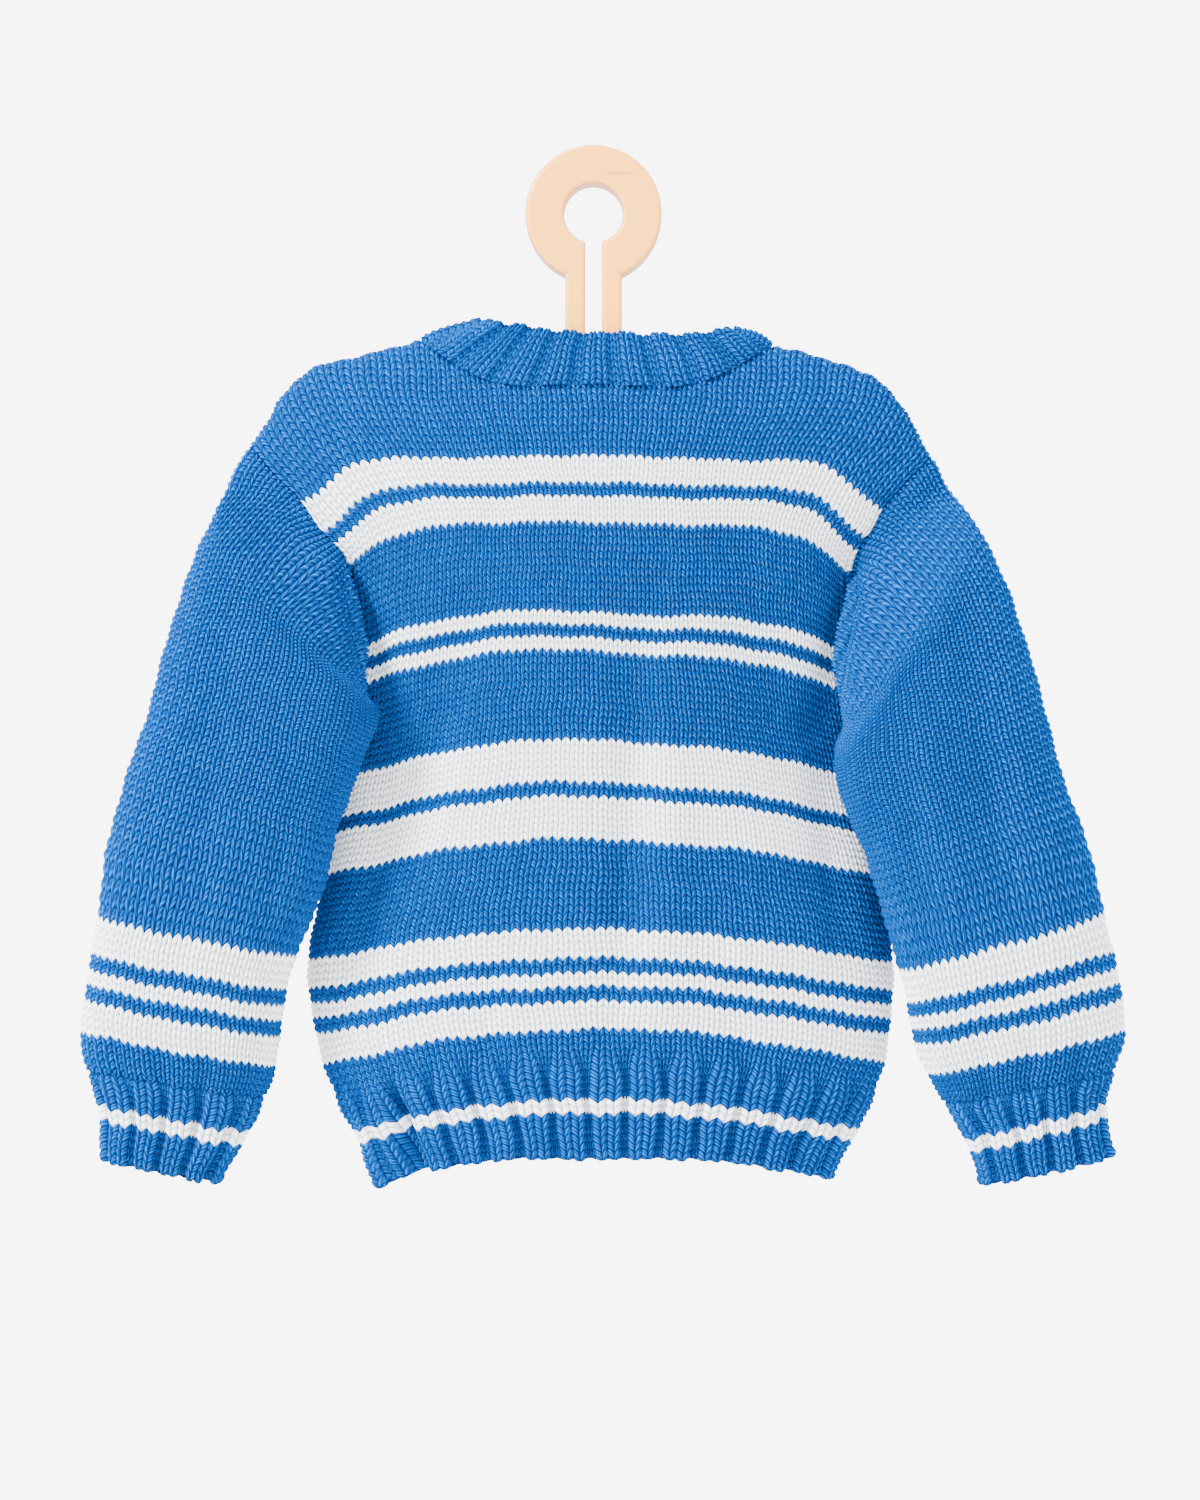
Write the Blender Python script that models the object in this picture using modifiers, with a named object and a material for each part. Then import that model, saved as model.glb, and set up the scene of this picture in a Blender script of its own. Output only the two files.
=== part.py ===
"""A child's striped cardigan, hand knitted in blue and white, hanging by its shoulders on a flat plywood hanger.

Metres, +Z up, +X to the right. The back of the garment looks towards -Y, and its fronts look towards +Y,
to the wall that it hangs on. The origin is the highest point inside the round hole of the hanger's ring.

Cloth is placed by its own stitches: a wale is one column of stitches, counted from the centre back or from
the underarm, and a course is one row of stitches, counted up from the cast-on edge. Each table below has a
row for one course, in millimetres, and the places between are on smooth curves through those rows.
"""

import math

import bmesh
import bpy
import numpy as np

MM = 0.001

# cloth
SHARP_ANGLE = 50
WALL = 2.5  # thickness of the plain knitting
RIB_RISE = 1.2  # how far a knitted pair of the rib stands above a purled pair
RIB_REPEAT = 4  # two stitches knitted, two purled
SEAM_GAP = 0.36
RIB_GAP = 0.8  # between a rib and the plain knitting that grows out of it

# body, in wales and courses
BACK_WALES = 66
HALF_BACK = BACK_WALES / 2
NECK_WALE = 17  # where the shoulder seam meets the neckband
HEM_TOP = 14
UNDERARM = 67
SHOULDER_TIP = 107
SHOULDER_NECK = 115
NECK_RIDGE = 118  # the course that would lie in the plane of the hanger, above the neck
COURSE_HEIGHT = 3.0
SHOULDER_ROUND = 45.0  # below the shoulder seam, how far down the cloth reaches its full depth
FRONT_EDGE_X = 10.0  # where a front ends and its band begins

# course: the row; middle: its height at the centre; left, right: its widest places; left_drop, right_drop:
# how far it hangs lower there; flat: the share of the half width that stays level; turn: degrees round the
# body at which the back ends; back, front: depth each way; axis: the place of the widest line in depth;
# edge: how sharply the back folds at its sides, from 0.9, round, to 2, a fold
BODY_COLUMNS = ("course middle left left_drop right right_drop flat turn back front axis edge").split()
BODY = [
    (0, -403.0, -85.5, 12.2, 97.2, 11.2, 0.30, 112, 30, 15, 5.0, 0.92),
    (6, -384.9, -94.2, 13.3, 105.1, 14.1, 0.10, 112, 31, 15, 5.0, 0.92),
    (14, -361.9, -106.4, 18.1, 116.2, 16.3, 0.00, 112, 33, 15, 6.0, 0.92),
    (22, -339.1, -114.9, 16.2, 122.5, 16.2, 0.00, 112, 35, 15, 7.0, 0.92),
    (32, -309.3, -118.5, 15.5, 124.3, 16.8, 0.00, 110, 36, 15, 8.0, 1.00),
    (44, -272.2, -111.4, 17.1, 119.0, 17.6, 0.00, 104, 36, 15, 8.0, 1.30),
    (58, -231.8, -105.9, 17.1, 113.4, 18.1, 0.05, 96, 35, 14, 8.0, 1.70),
    (67, -204.8, -102.8, 17.0, 110.3, 19.5, 0.12, 90, 34, 13, 7.0, 1.60),
    (71, -192.6, -106.2, 16.8, 112.9, 18.8, 0.17, 75, 33, 13, 6.5, 1.60),
    (76, -179.7, -107.2, 16.2, 113.4, 16.9, 0.25, 72, 33, 12, 6.0, 1.60),
    (88, -143.6, -110.1, 15.2, 115.9, 15.8, 0.45, 67, 30, 12, 5.0, 1.40),
    (98, -116.2, -134.7, 15.1, 134.6, 17.1, 0.58, 63, 25, 12, 4.0, 1.20),
    (107, -88.2, -162.1, 22.3, 161.0, 25.4, 0.74, 61, 19, 12, 3.0, 1.00),
    (115, -63.2, -174.2, 28.5, 172.1, 31.5, 0.78, 60, 15, 12, 2.0, 1.00),
]
DROP_POWER = 1.8
SIDE_FOLD = 0.92  # under 1, the rings turn more sharply at the sides
FRONT_FLATNESS = 0.7  # under 1, the fronts are flatter than the back
TROUGH_FADE = 0.7  # under 1, a trough keeps its depth nearer to its ends
RING_STEPS = 73
UNDERARM_OUT = 0.6  # how far the cloth at the underarm looks outwards

# how high the fronts and the back reach: the wale, counted from the centre, and its topmost course
FRONT_NECK = [(2.4, 94.5), (6, 96.5), (9, 100.0), (12, 105.0), (15, 111.0), (17, 115.0)]
BACK_NECK = [(0, 108.0), (8, 108.0), (11, 109.2), (14, 111.9), (17, 115.0)]

# the shoulder seam from the neckband to the armhole: x, z
SHOULDERS = {
    "left": [
        (-72.4, -65.4), (-99.3, -71.4), (-114.8, -75.7), (-121.4, -79.4), (-126.4, -83.7),
        (-130.1, -87.9), (-132.5, -92.0), (-136.9, -100.2), (-140.0, -104.5), (-142.7, -108.7),
    ],
    "right": [
        (74.9, -67.4), (93.6, -71.4), (107.2, -75.8), (116.6, -79.9), (121.6, -83.9),
        (125.7, -88.1), (131.6, -96.0), (135.9, -104.4), (139.9, -112.7),
    ],
}

# long soft troughs in the back: x and z at the top, x and z at the bottom, half width, depth
TROUGHS = [
    (16, -172, 8, -373, 9, 3.2),
    (-52, -167, -80, -301, 11, 2.6),
    (62, -162, 88, -301, 12, 2.8),
    (-40, -317, -48, -401, 8, 2.0),
    (58, -322, 66, -401, 8, 2.0),
]

# sleeves: course: the row, counted up from the cuff; outer, inner: the two edges of the flattened tube;
# y: its middle in depth; depth: its thickness
SLEEVE_COLUMNS = ("course outer_x outer_z inner_x inner_z y depth").split()
SLEEVES = {
    "left": [
        (0, -200.0, -404.4, -156.1, -413.1, -15, 20),
        (7, -200.8, -382.2, -144.5, -392.5, -15, 24),
        (13, -207.3, -365.7, -135.6, -376.4, -16, 29),
        (17, -209.3, -352.1, -131.9, -366.1, -17, 33),
        (21, -207.8, -338.9, -130.7, -353.8, -18, 36),
        (31, -202.1, -306.0, -123.8, -321.2, -20, 38),
        (37, -197.0, -272.6, -112.6, -295.3, -22, 39),
        (44, -188.5, -243.8, -106.0, -268.8, -23, 38),
        (52, -179.0, -214.9, -99.0, -249.8, -24, 38),
        (60, -172.4, -188.1, -92.8, -233.0, -23, 38),
        (68, -164.4, -163.4, -88.8, -221.5, -21, 36),
        (75, -156.7, -142.8, -90.5, -218.0, -17, 33),
    ],
    "right": [
        (0, 211.6, -403.2, 161.7, -414.3, -15, 20),
        (7, 208.2, -382.2, 155.6, -395.4, -15, 24),
        (13, 213.2, -365.7, 144.6, -378.9, -16, 29),
        (17, 217.1, -351.7, 138.9, -369.4, -17, 33),
        (21, 215.9, -338.5, 133.7, -357.1, -18, 36),
        (31, 208.4, -304.7, 127.1, -327.0, -20, 38),
        (37, 200.3, -272.6, 118.0, -297.4, -22, 39),
        (44, 189.6, -243.8, 111.5, -275.5, -23, 38),
        (52, 183.2, -219.0, 103.5, -258.8, -24, 38),
        (60, 175.7, -192.3, 99.8, -245.3, -23, 38),
        (68, 167.5, -167.5, 100.0, -236.8, -21, 36),
        (75, 157.2, -144.9, 102.8, -230.5, -17, 33),
    ],
}
CUFF_TOP = 13
SLEEVE_TOP = 86
HEAD_COURSE = 80.5
SLEEVE_SQUARE = 2.4  # 2 is an ellipse, more is squarer
SECTION_STEPS = 97
# the way the sleeve's cloth leaves the armhole: around: 0 and 1 underarm, 0.25 back, 0.5 shoulder, 0.75 front
HEAD_COLUMNS = ("around out towards_wall up").split()
HEAD_WAY = [
    (0.0, -5, -13, -1),
    (0.10, -8, -15, -1),
    (0.20, -2, -13, -4),
    (0.35, 11, -5, -9),
    (0.50, 8, 0, -15),
    (0.65, 10, 4, -10),
    (0.80, 10, 1, -8),
    (0.92, 6, -7, -7),
    (1.0, -5, -13, -1),
]

# the neckband's upper edge: along: 0 left front, 1 left shoulder, 2 centre back, 3 right shoulder, 4 right front
NECKBAND_COLUMNS = ("along x y z").split()
NECKBAND_TOP = [
    (0, -10.0, 14.0, -105.5),
    (0.5, -33.5, 13.5, -91.5),
    (0.85, -46.1, 8.0, -65.4),
    (1, -46.6, -1.0, -57.9),
    (1.25, -36.2, -8.5, -59.3),
    (2, -0.0, -9.5, -62.9),
    (2.7, 44.2, -9.0, -63.4),
    (3, 57.6, -1.0, -61.0),
    (3.15, 54.6, 8.0, -68.4),
    (3.5, 34.4, 13.5, -93.5),
    (4, 10.0, 14.0, -105.5),
]
NECKBAND_SWELL = 1.5  # how far the band bulges between its two edges
NECKBAND_LEVELS = np.array([0, 0.35, 0.7, 1.0])
NECKBAND_RIBS = np.array([0.3, 1.0, 1.0, 0.9])  # how much of the rib's height shows at each level

# front bands
BAND_REACH = 5.5  # how far each band passes the centre front
BAND_STEP = 2.1  # how far the upper band lies over the plane of the fronts, and the lower one under it
BAND_STEP_STITCHES = 1.5  # the step is made over this many stitches
BUTTONS = 5
BUTTON_SIDES = 20
BUTTON_HOLE_SIDES = 6
BUTTON_RADIUS = 7.5
BUTTON_THICK = 2.4
BUTTON_EDGE = 0.6
BUTTON_SEAT = 16.5  # a button rests on the highest of the band's rows within this distance
BUTTON_HOLE_RADIUS = 0.9
BUTTON_HOLE_OFFSET = 1.9
TOP_BUTTON_Z = -114.0
BOTTOM_BUTTON_Z = -392.0

# hanger
HANGER_THICK = 12.0
HANGER_EDGE = 1.5
RING_RADIUS = 28.4
HOLE_RADIUS = 12.35
PRONG_HALF = 11.8
SLOT_HALF = 3.5
SLOT_END = -92.0
RING_SIDES = 24
SLOT_END_SIDES = 7
# where a prong widens into its arm: x, z
PRONG_FOOT = [(11.8, -64.0), (15.8, -70.0)]
# an arm's top edge, from the neck to its tip, and its lower edge, from the tip to the middle: x, z
ARM_TOP = [(34, -72.0), (58, -74.0), (76, -77.3), (92, -81.1)]
ARM_TIP = (98.0, -89.0)
ARM_TIP_RADIUS = 6.0
ARM_TIP_TURN = (75, -70)
ARM_TIP_SIDES = 6
ARM_UNDER = [(96, -95), (80, -98), (45, -105), (0, -112)]

COLOURS = {
    "blue_knit": (0.030, 0.190, 0.620),
    "button_blue": (0.020, 0.120, 0.420),
    "birch_plywood": (0.780, 0.560, 0.350),
}
ROUGHNESS = {"blue_knit": 0.9, "button_blue": 0.35, "birch_plywood": 0.55}


def column(table, names, name):
    return np.array([row[names.index(name)] for row in table], float)


def smooth(places, values, at):
    """A curve through all the values, with no overshoot where they stop rising or falling."""
    at = np.clip(np.asarray(at, float), places[0], places[-1])
    step = np.diff(places)
    slope = np.diff(values) / step
    inner = np.where(
        slope[1:] * slope[:-1] > 0,
        2 * slope[1:] * slope[:-1] / (slope[1:] + slope[:-1] + 1e-12),
        0.0,
    )
    tangent = np.concatenate([[slope[0]], inner, [slope[-1]]])
    k = np.clip(np.searchsorted(places, at, side="right") - 1, 0, len(step) - 1)
    t = (at - places[k]) / step[k]
    rise = step[k]
    return (
        values[k] * (1 + 2 * t) * (1 - t) ** 2
        + tangent[k] * rise * t * (1 - t) ** 2
        + values[k + 1] * t * t * (3 - 2 * t)
        + tangent[k + 1] * rise * t * t * (t - 1)
    )


def read(table, names, name, at):
    return smooth(column(table, names, names[0]), column(table, names, name), at)


def power(value, exponent):
    return np.sign(value) * np.abs(value) ** exponent


def walk(path, share):
    """Places at shares of a path's length."""
    length = np.concatenate([[0], np.cumsum(np.linalg.norm(np.diff(path, axis=0), axis=1))])
    return np.stack([np.interp(share * length[-1], length, path[:, k]) for k in range(3)], axis=-1), length


# ---- the body ----


def ring(course, angle):
    """The place on the body's ring at this course: angle 0 is centre back, 90 the right side, 180 centre front."""
    row = {name: read(BODY, BODY_COLUMNS, name, course) for name in BODY_COLUMNS[1:]}
    sine, cosine = np.sin(np.radians(angle)), np.cos(np.radians(angle))
    right = sine > 0
    half = np.where(right, row["right"], -row["left"])
    drop = np.where(right, row["right_drop"], row["left_drop"])
    side = power(sine, SIDE_FOLD)
    back = -row["back"] * power(cosine, row["edge"])
    front = -row["front"] * power(cosine, FRONT_FLATNESS)
    depth = np.where(cosine > 0, back, front)
    level = np.maximum(0, np.abs(side) - row["flat"]) / (1 - row["flat"])
    return np.stack([side * half, row["axis"] + depth, row["middle"] - drop * level**DROP_POWER], axis=-1)


def by_stitches(course, first, last, share):
    """The angle that lies at this share of the cloth's length between two angles of the ring."""
    angles = np.linspace(first, last, RING_STEPS)
    places = ring(np.full(RING_STEPS, float(course)), angles)
    length = np.concatenate([[0], np.cumsum(np.linalg.norm(np.diff(places, axis=0), axis=1))])
    return np.interp(share, length / length[-1], angles)


def ridge(wale):
    """The course at which this wale reaches the plane of the hanger."""
    across = np.abs(wale)
    shoulder = SHOULDER_NECK + (SHOULDER_TIP - SHOULDER_NECK) * (across - NECK_WALE) / (HALF_BACK - NECK_WALE)
    inside = NECK_RIDGE + (SHOULDER_NECK - NECK_RIDGE) * (across / NECK_WALE) ** 2
    return np.where(across > NECK_WALE, shoulder, inside)


def draped(places, wale, course):
    """The cloth closes onto the hanger towards the shoulder seam."""
    below = np.clip((ridge(wale) - course) * COURSE_HEIGHT / SHOULDER_ROUND, 0, 1)
    places = places.copy()
    places[..., 1] *= np.sqrt(1 - (1 - below) ** 2)
    return places


def troughs(places):
    """How far the back sinks at each place."""
    sunk = np.zeros(places.shape[:-1])
    for x_top, z_top, x_bottom, z_bottom, spread, depth in TROUGHS:
        along = (z_top - places[..., 2]) / (z_top - z_bottom)
        middle = x_top + (x_bottom - x_top) * along
        inside = np.clip(along, 0, 1)
        fade = np.sin(np.pi * inside) ** TROUGH_FADE
        sunk += depth * fade * np.exp(-(((places[..., 0] - middle) / spread) ** 2))
    return sunk


def back_place(wale, course):
    turn = float(read(BODY, BODY_COLUMNS, "turn", course))
    angle = by_stitches(course, -turn, turn, (wale + HALF_BACK) / BACK_WALES)
    places = ring(np.full(len(wale), float(course)), angle)
    places[:, 1] += troughs(places)
    return draped(places, wale, course)


def front_turn(course):
    turn = float(read(BODY, BODY_COLUMNS, "turn", course))
    return turn if course <= UNDERARM else 180 - turn


def front_place(side, share, course):
    """Share 0 is the side seam or armhole, 1 the edge at the band. Side -1 is left, 1 right."""
    first = front_turn(course)
    angles = np.linspace(first, 180, RING_STEPS)
    places = ring(np.full(RING_STEPS, float(course)), side * angles)
    edge = np.interp(-FRONT_EDGE_X, -np.abs(places[:, 0]), angles)
    angle = by_stitches(course, side * first, side * edge, share)
    places = ring(np.full(len(share), float(course)), angle)
    wale = HALF_BACK + (FRONT_NECK[0][0] - HALF_BACK) * share
    return draped(places, wale, course)


def back_top(wale):
    neck = np.array(BACK_NECK, float)
    across = np.abs(wale)
    return np.where(across > NECK_WALE, ridge(wale), np.interp(across, neck[:, 0], neck[:, 1]))


def front_top(share):
    neck = np.array(FRONT_NECK, float)
    across = HALF_BACK + (FRONT_NECK[0][0] - HALF_BACK) * share
    return np.where(across > NECK_WALE, ridge(across), np.interp(across, neck[:, 0], neck[:, 1]))


ARMHOLE_ROWS = np.array([UNDERARM, 71, 75.5, 80, 84.5, 89, 93, 97, 100.5, 103.5, 105.7, SHOULDER_TIP])
LOWER_ROWS = np.linspace(HEM_TOP, UNDERARM, 10)
BODY_ROWS = np.concatenate([LOWER_ROWS, ARMHOLE_ROWS[1:]])
# how much of the shoulder seam's move each row takes, from none at the underarm
SETTLED = np.clip((BODY_ROWS - UNDERARM) / (SHOULDER_TIP - UNDERARM), 0, 1) ** 2
SHOULDER_WALES = np.array([33, 31.2, 29.4, 27.6, 25.5, 23, 20, 17])
BACK_WALE_LINES = np.concatenate([-SHOULDER_WALES, [-14, -11, -8, -3, 3, 8, 11, 14], SHOULDER_WALES[::-1]])
FRONT_WALE_LINES = np.concatenate([SHOULDER_WALES, [15, 12.5, 9.5, 6, 2.4]])
FRONT_SHARES = (HALF_BACK - FRONT_WALE_LINES) / (HALF_BACK - FRONT_NECK[0][0])
FRONT_EASE = np.linspace(0, 1, len(FRONT_WALE_LINES) - len(SHOULDER_WALES) + 1)[1:]


def up_to(top, rows, place):
    """Lines of places, one for each row, where the upper rows close up to end at the top of each wale."""
    start = UNDERARM
    grid = []
    for row in rows:
        share = max(0.0, (row - start) / (SHOULDER_TIP - start))
        courses = row + share * (top - SHOULDER_TIP)
        grid.append(np.array([place(k, c) for k, c in enumerate(courses)]))
    return np.array(grid)


def back_grid():
    wales = BACK_WALE_LINES
    grid = up_to(back_top(wales), BODY_ROWS, lambda k, c: back_place(wales[k : k + 1], c)[0])
    shoulder = len(SHOULDER_WALES)
    share = (SHOULDER_WALES - NECK_WALE) / (HALF_BACK - NECK_WALE)
    moved = np.zeros_like(grid[-1])
    for name, view in (("left", slice(None)), ("right", slice(None, None, -1))):
        line = np.array([(x, 0, z) for x, z in SHOULDERS[name]])
        seam = walk(line, share)[0] - grid[-1][view][:shoulder]
        neck = seam[-1] * ((wales[shoulder : len(wales) // 2] / NECK_WALE) ** 2)[:, None]
        moved[view][: len(wales) // 2] = np.concatenate([seam, neck])
    return grid + SETTLED[:, None, None] * moved


def front_grid(side):
    shares = FRONT_SHARES
    return up_to(front_top(shares), BODY_ROWS, lambda k, c: front_place(side, shares[k : k + 1], c)[0])


def join_front(side, grids):
    """The front's shoulder is eased to the back's, stitch for stitch, and its side follows the back's side."""
    back = grids["back"] if side < 0 else grids["back"][:, ::-1]
    front = grids["front_left" if side < 0 else "front_right"]
    shoulder = len(SHOULDER_WALES)
    moved = np.zeros_like(front[-1])
    moved[:shoulder] = back[-1, :shoulder] - front[-1, :shoulder]
    moved[shoulder:] = moved[shoulder - 1] * (1 - FRONT_EASE)[:, None]
    front += SETTLED[:, None, None] * moved
    seam = len(LOWER_ROWS)
    front[:seam, 0] = back[:seam, 0]
    front[-1, :shoulder] = back[-1, :shoulder]


# ---- sleeves ----


def armhole(side, back, front):
    """The armhole's loop: underarm, up the back, over the shoulder tip, down the front, underarm."""
    edge = 0 if side < 0 else -1
    first = len(LOWER_ROWS) - 1
    up = back[first:, edge]
    down = front[first:, 0][::-1]
    return np.concatenate([up, down[1:]])


def section(row, around):
    """The flattened ring of a sleeve: around 0 is the inner edge, 0.25 the back, 0.5 the outer edge."""
    outer = np.array([row["outer_x"], 0, row["outer_z"]])
    inner = np.array([row["inner_x"], 0, row["inner_z"]])
    centre = (outer + inner) / 2 + np.array([0, row["y"], 0])
    reach = (inner - outer) / 2
    angle = np.linspace(0, 2 * np.pi, SECTION_STEPS)
    shape = 2 / SLEEVE_SQUARE
    ring_places = (
        centre
        + power(np.cos(angle), shape)[:, None] * reach
        - power(np.sin(angle), shape)[:, None] * np.array([0, row["depth"] / 2, 0])
    )
    length = np.concatenate([[0], np.cumsum(np.linalg.norm(np.diff(ring_places, axis=0), axis=1))])
    share = length / length[-1]
    return np.stack([np.interp(around, share, ring_places[:, k]) for k in range(3)], axis=-1)


def sleeve_lines(name, loop):
    """For each place around the armhole, a function that gives the sleeve's surface at a course."""
    side = -1 if name == "left" else 1
    table = SLEEVES[name]
    length = np.concatenate([[0], np.cumsum(np.linalg.norm(np.diff(loop, axis=0), axis=1))])
    around = length / length[-1]
    middle = (len(loop) - 1) // 2
    half = around[middle]
    around = np.where(around <= half, around / half / 2, 0.5 + (around - half) / (1 - half) / 2)
    way = np.stack([read(HEAD_WAY, HEAD_COLUMNS, c, around) for c in HEAD_COLUMNS[1:]], axis=-1)
    way[:, 0] *= side
    rings = [section(dict(zip(SLEEVE_COLUMNS, row)), around) for row in table]
    places = np.array(rings + [loop + way, loop])
    courses = np.concatenate([column(table, SLEEVE_COLUMNS, "course"), [HEAD_COURSE, SLEEVE_TOP]])
    return courses, places


def along_sleeve(courses, places, at):
    """Catmull-Rom curves along the sleeve, read at the wanted courses."""
    at = np.clip(np.asarray(at, float), courses[0], courses[-1])
    k = np.clip(np.searchsorted(courses, at, side="right") - 1, 0, len(courses) - 2)
    tangent = np.zeros_like(places)
    tangent[1:-1] = (places[2:] - places[:-2]) / (courses[2:] - courses[:-2])[:, None, None]
    tangent[0] = (places[1] - places[0]) / (courses[1] - courses[0])
    tangent[-1] = (places[-1] - places[-2]) / (courses[-1] - courses[-2])
    rise = (courses[k + 1] - courses[k])[:, None, None]
    t = ((at - courses[k]) / (courses[k + 1] - courses[k]))[:, None, None]
    return (
        places[k] * (1 + 2 * t) * (1 - t) ** 2
        + tangent[k] * rise * t * (1 - t) ** 2
        + places[k + 1] * t * t * (3 - 2 * t)
        + tangent[k + 1] * rise * t * t * (t - 1)
    )


# ---- walls ----


def normals(grid):
    """Unit normals of a grid of places, to the right of its rows and up its columns."""
    across = np.gradient(grid, axis=1)
    up = np.gradient(grid, axis=0)
    found = np.cross(across, up)
    return found / (np.linalg.norm(found, axis=-1, keepdims=True) + 1e-12)


def unit(way):
    return way / (np.linalg.norm(way, axis=-1, keepdims=True) + 1e-12)


def wall(name, grid, facing, rise=None):
    """A closed wall round a grid of places: plain inside, and outside raised by rise."""
    rows, columns = grid.shape[:2]
    inner = grid - facing * WALL / 2
    lift = WALL / 2 + (0 if rise is None else rise[..., None])
    outer = grid + facing * lift
    mesh = bmesh.new()
    bmesh.ops.create_grid(mesh, x_segments=columns - 1, y_segments=rows - 1, size=1)
    order = mesh.verts.layers.int.new("order")
    for number, vert in enumerate(mesh.verts):
        vert[order] = number
        vert.co = inner.reshape(-1, 3)[number] * MM
    started = set(mesh.verts)
    bmesh.ops.extrude_face_region(mesh, geom=mesh.faces[:] + mesh.edges[:], use_keep_orig=True)
    for vert in mesh.verts:
        if vert not in started:
            vert.co = outer.reshape(-1, 3)[vert[order]] * MM
    bmesh.ops.recalc_face_normals(mesh, faces=mesh.faces)
    data = bpy.data.meshes.new(name)
    mesh.to_mesh(data)
    mesh.free()
    data.shade_smooth()
    data.set_sharp_from_angle(angle=math.radians(SHARP_ANGLE))
    data.materials.append(material_of("blue_knit"))
    piece = bpy.data.objects.new(name, data)
    PARTS.objects.link(piece)
    return piece


def material_of(name):
    material = bpy.data.materials.get(name)
    if material is None:
        material = bpy.data.materials.new(name)
        material.use_nodes = True
        shader = material.node_tree.nodes["Principled BSDF"]
        shader.inputs["Base Color"].default_value = (*COLOURS[name], 1)
        shader.inputs["Roughness"].default_value = ROUGHNESS[name]
        shader.inputs["Metallic"].default_value = 0.0
    return material


def edges_of(grid):
    """The four edges of a grid, as the places in it and the places next to them inside."""
    rows, columns = grid.shape[:2]
    down, over = np.arange(rows), np.arange(columns)
    full_row, full_column = np.ones(columns, int), np.ones(rows, int)
    return {
        "start": ((down, 0 * full_column), (down, full_column)),
        "end": ((down, (columns - 1) * full_column), (down, (columns - 2) * full_column)),
        "bottom": ((0 * full_row, over), (full_row, over)),
        "top": (((rows - 1) * full_row, over), ((rows - 2) * full_row, over)),
    }


def key_of(place):
    return tuple(np.round(place, 3))


def meet(grids, facings, sewn, corners):
    """Pieces that meet get one shared direction along their seam, and stand half a seam's gap clear of it."""
    shared = {}
    for name, names in sewn.items():
        edges = edges_of(grids[name])
        for edge in names:
            for row, col in zip(*edges[edge][0]):
                shared.setdefault(key_of(grids[name][row, col]), set()).add((name, row, col))
    for key, members in shared.items():
        together = corners.get(key, unit(sum(facings[name][row, col] for name, row, col in members)))
        for name, row, col in members:
            facings[name][row, col] = together
    for name, names in sewn.items():
        edges = edges_of(grids[name])
        moved = grids[name].copy()
        for edge in names:
            on, inside = edges[edge]
            places = grids[name][on]
            facing = facings[name][on]
            along = unit(np.gradient(places, axis=0))
            inwards = grids[name][inside] - places
            inwards -= along * (inwards * along).sum(1, keepdims=True)
            inwards -= facing * (inwards * facing).sum(1, keepdims=True)
            moved[on] += unit(inwards) * SEAM_GAP / 2
        grids[name] = moved


def underarm_facing(name, grids):
    """At the underarm the cloth looks into the fold between the sleeve and the body's side seam."""
    edge = 0 if name == "left" else -1
    seam = grids["back"][:, edge]
    lowest = len(LOWER_ROWS) - 1
    sleeve = grids[f"sleeve_{name}"][:, 0]
    outwards = np.array([-UNDERARM_OUT if edge == 0 else UNDERARM_OUT, 0, 0])
    return unit(unit(seam[lowest - 1] - seam[lowest]) + unit(sleeve[-2] - sleeve[-1]) + outwards)


# ---- ribs ----


def rib_lines(stitches):
    """The middles of the stitches and the two ends, as shares of the width, and how far each is raised."""
    places = np.concatenate([[0], np.arange(stitches) + 0.5, [stitches]])
    pair = np.floor(places).astype(int) % RIB_REPEAT < RIB_REPEAT // 2
    pair[-1] = pair[-2]
    return places / stitches, pair * RIB_RISE


RIB_LEVELS = np.array([0, 0.25, 0.5, 0.75, 1.0])
RIB_FADE = np.array([1.0, 1.0, 1.0, 0.85, 0.3])  # how much of the rib's height shows at each level


def rib_courses(top):
    return RIB_LEVELS * (top - RIB_GAP / 2 / COURSE_HEIGHT)


FRONT_STITCHES = 30
CUFF_STITCHES = 42
NECKBAND_STITCHES = 82
BAND_STITCHES = 6


def hem_back():
    shares, rise = rib_lines(BACK_WALES)
    wales = shares * BACK_WALES - HALF_BACK
    grid = np.array([back_place(wales, c) for c in rib_courses(HEM_TOP)])
    return grid, RIB_FADE[:, None] * rise


def hem_front(side):
    shares, rise = rib_lines(FRONT_STITCHES)
    grid = np.array([front_place(side, shares, c) for c in rib_courses(HEM_TOP)])
    return grid, RIB_FADE[:, None] * rise


def cuff(name):
    shares, rise = rib_lines(CUFF_STITCHES)
    table = SLEEVES[name]
    rings = np.array([section(dict(zip(SLEEVE_COLUMNS, row)), shares) for row in table])
    grid = along_sleeve(column(table, SLEEVE_COLUMNS, "course"), rings, rib_courses(CUFF_TOP))
    return grid, RIB_FADE[:, None] * rise


NECK_START = list(BACK_WALE_LINES).index(-NECK_WALE)
NECK_LINES = slice(NECK_START, len(BACK_WALE_LINES) - NECK_START)
FRONT_NECK_START = len(SHOULDER_WALES) - 1


def neck_path(values):
    """What lies along the neck edge, from the left front, round the back, to the right front."""
    left = values["front_left"][-1, FRONT_NECK_START:][::-1]
    back = values["back"][-1, NECK_LINES]
    right = values["front_right"][-1, FRONT_NECK_START:]
    return left, back, right


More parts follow.
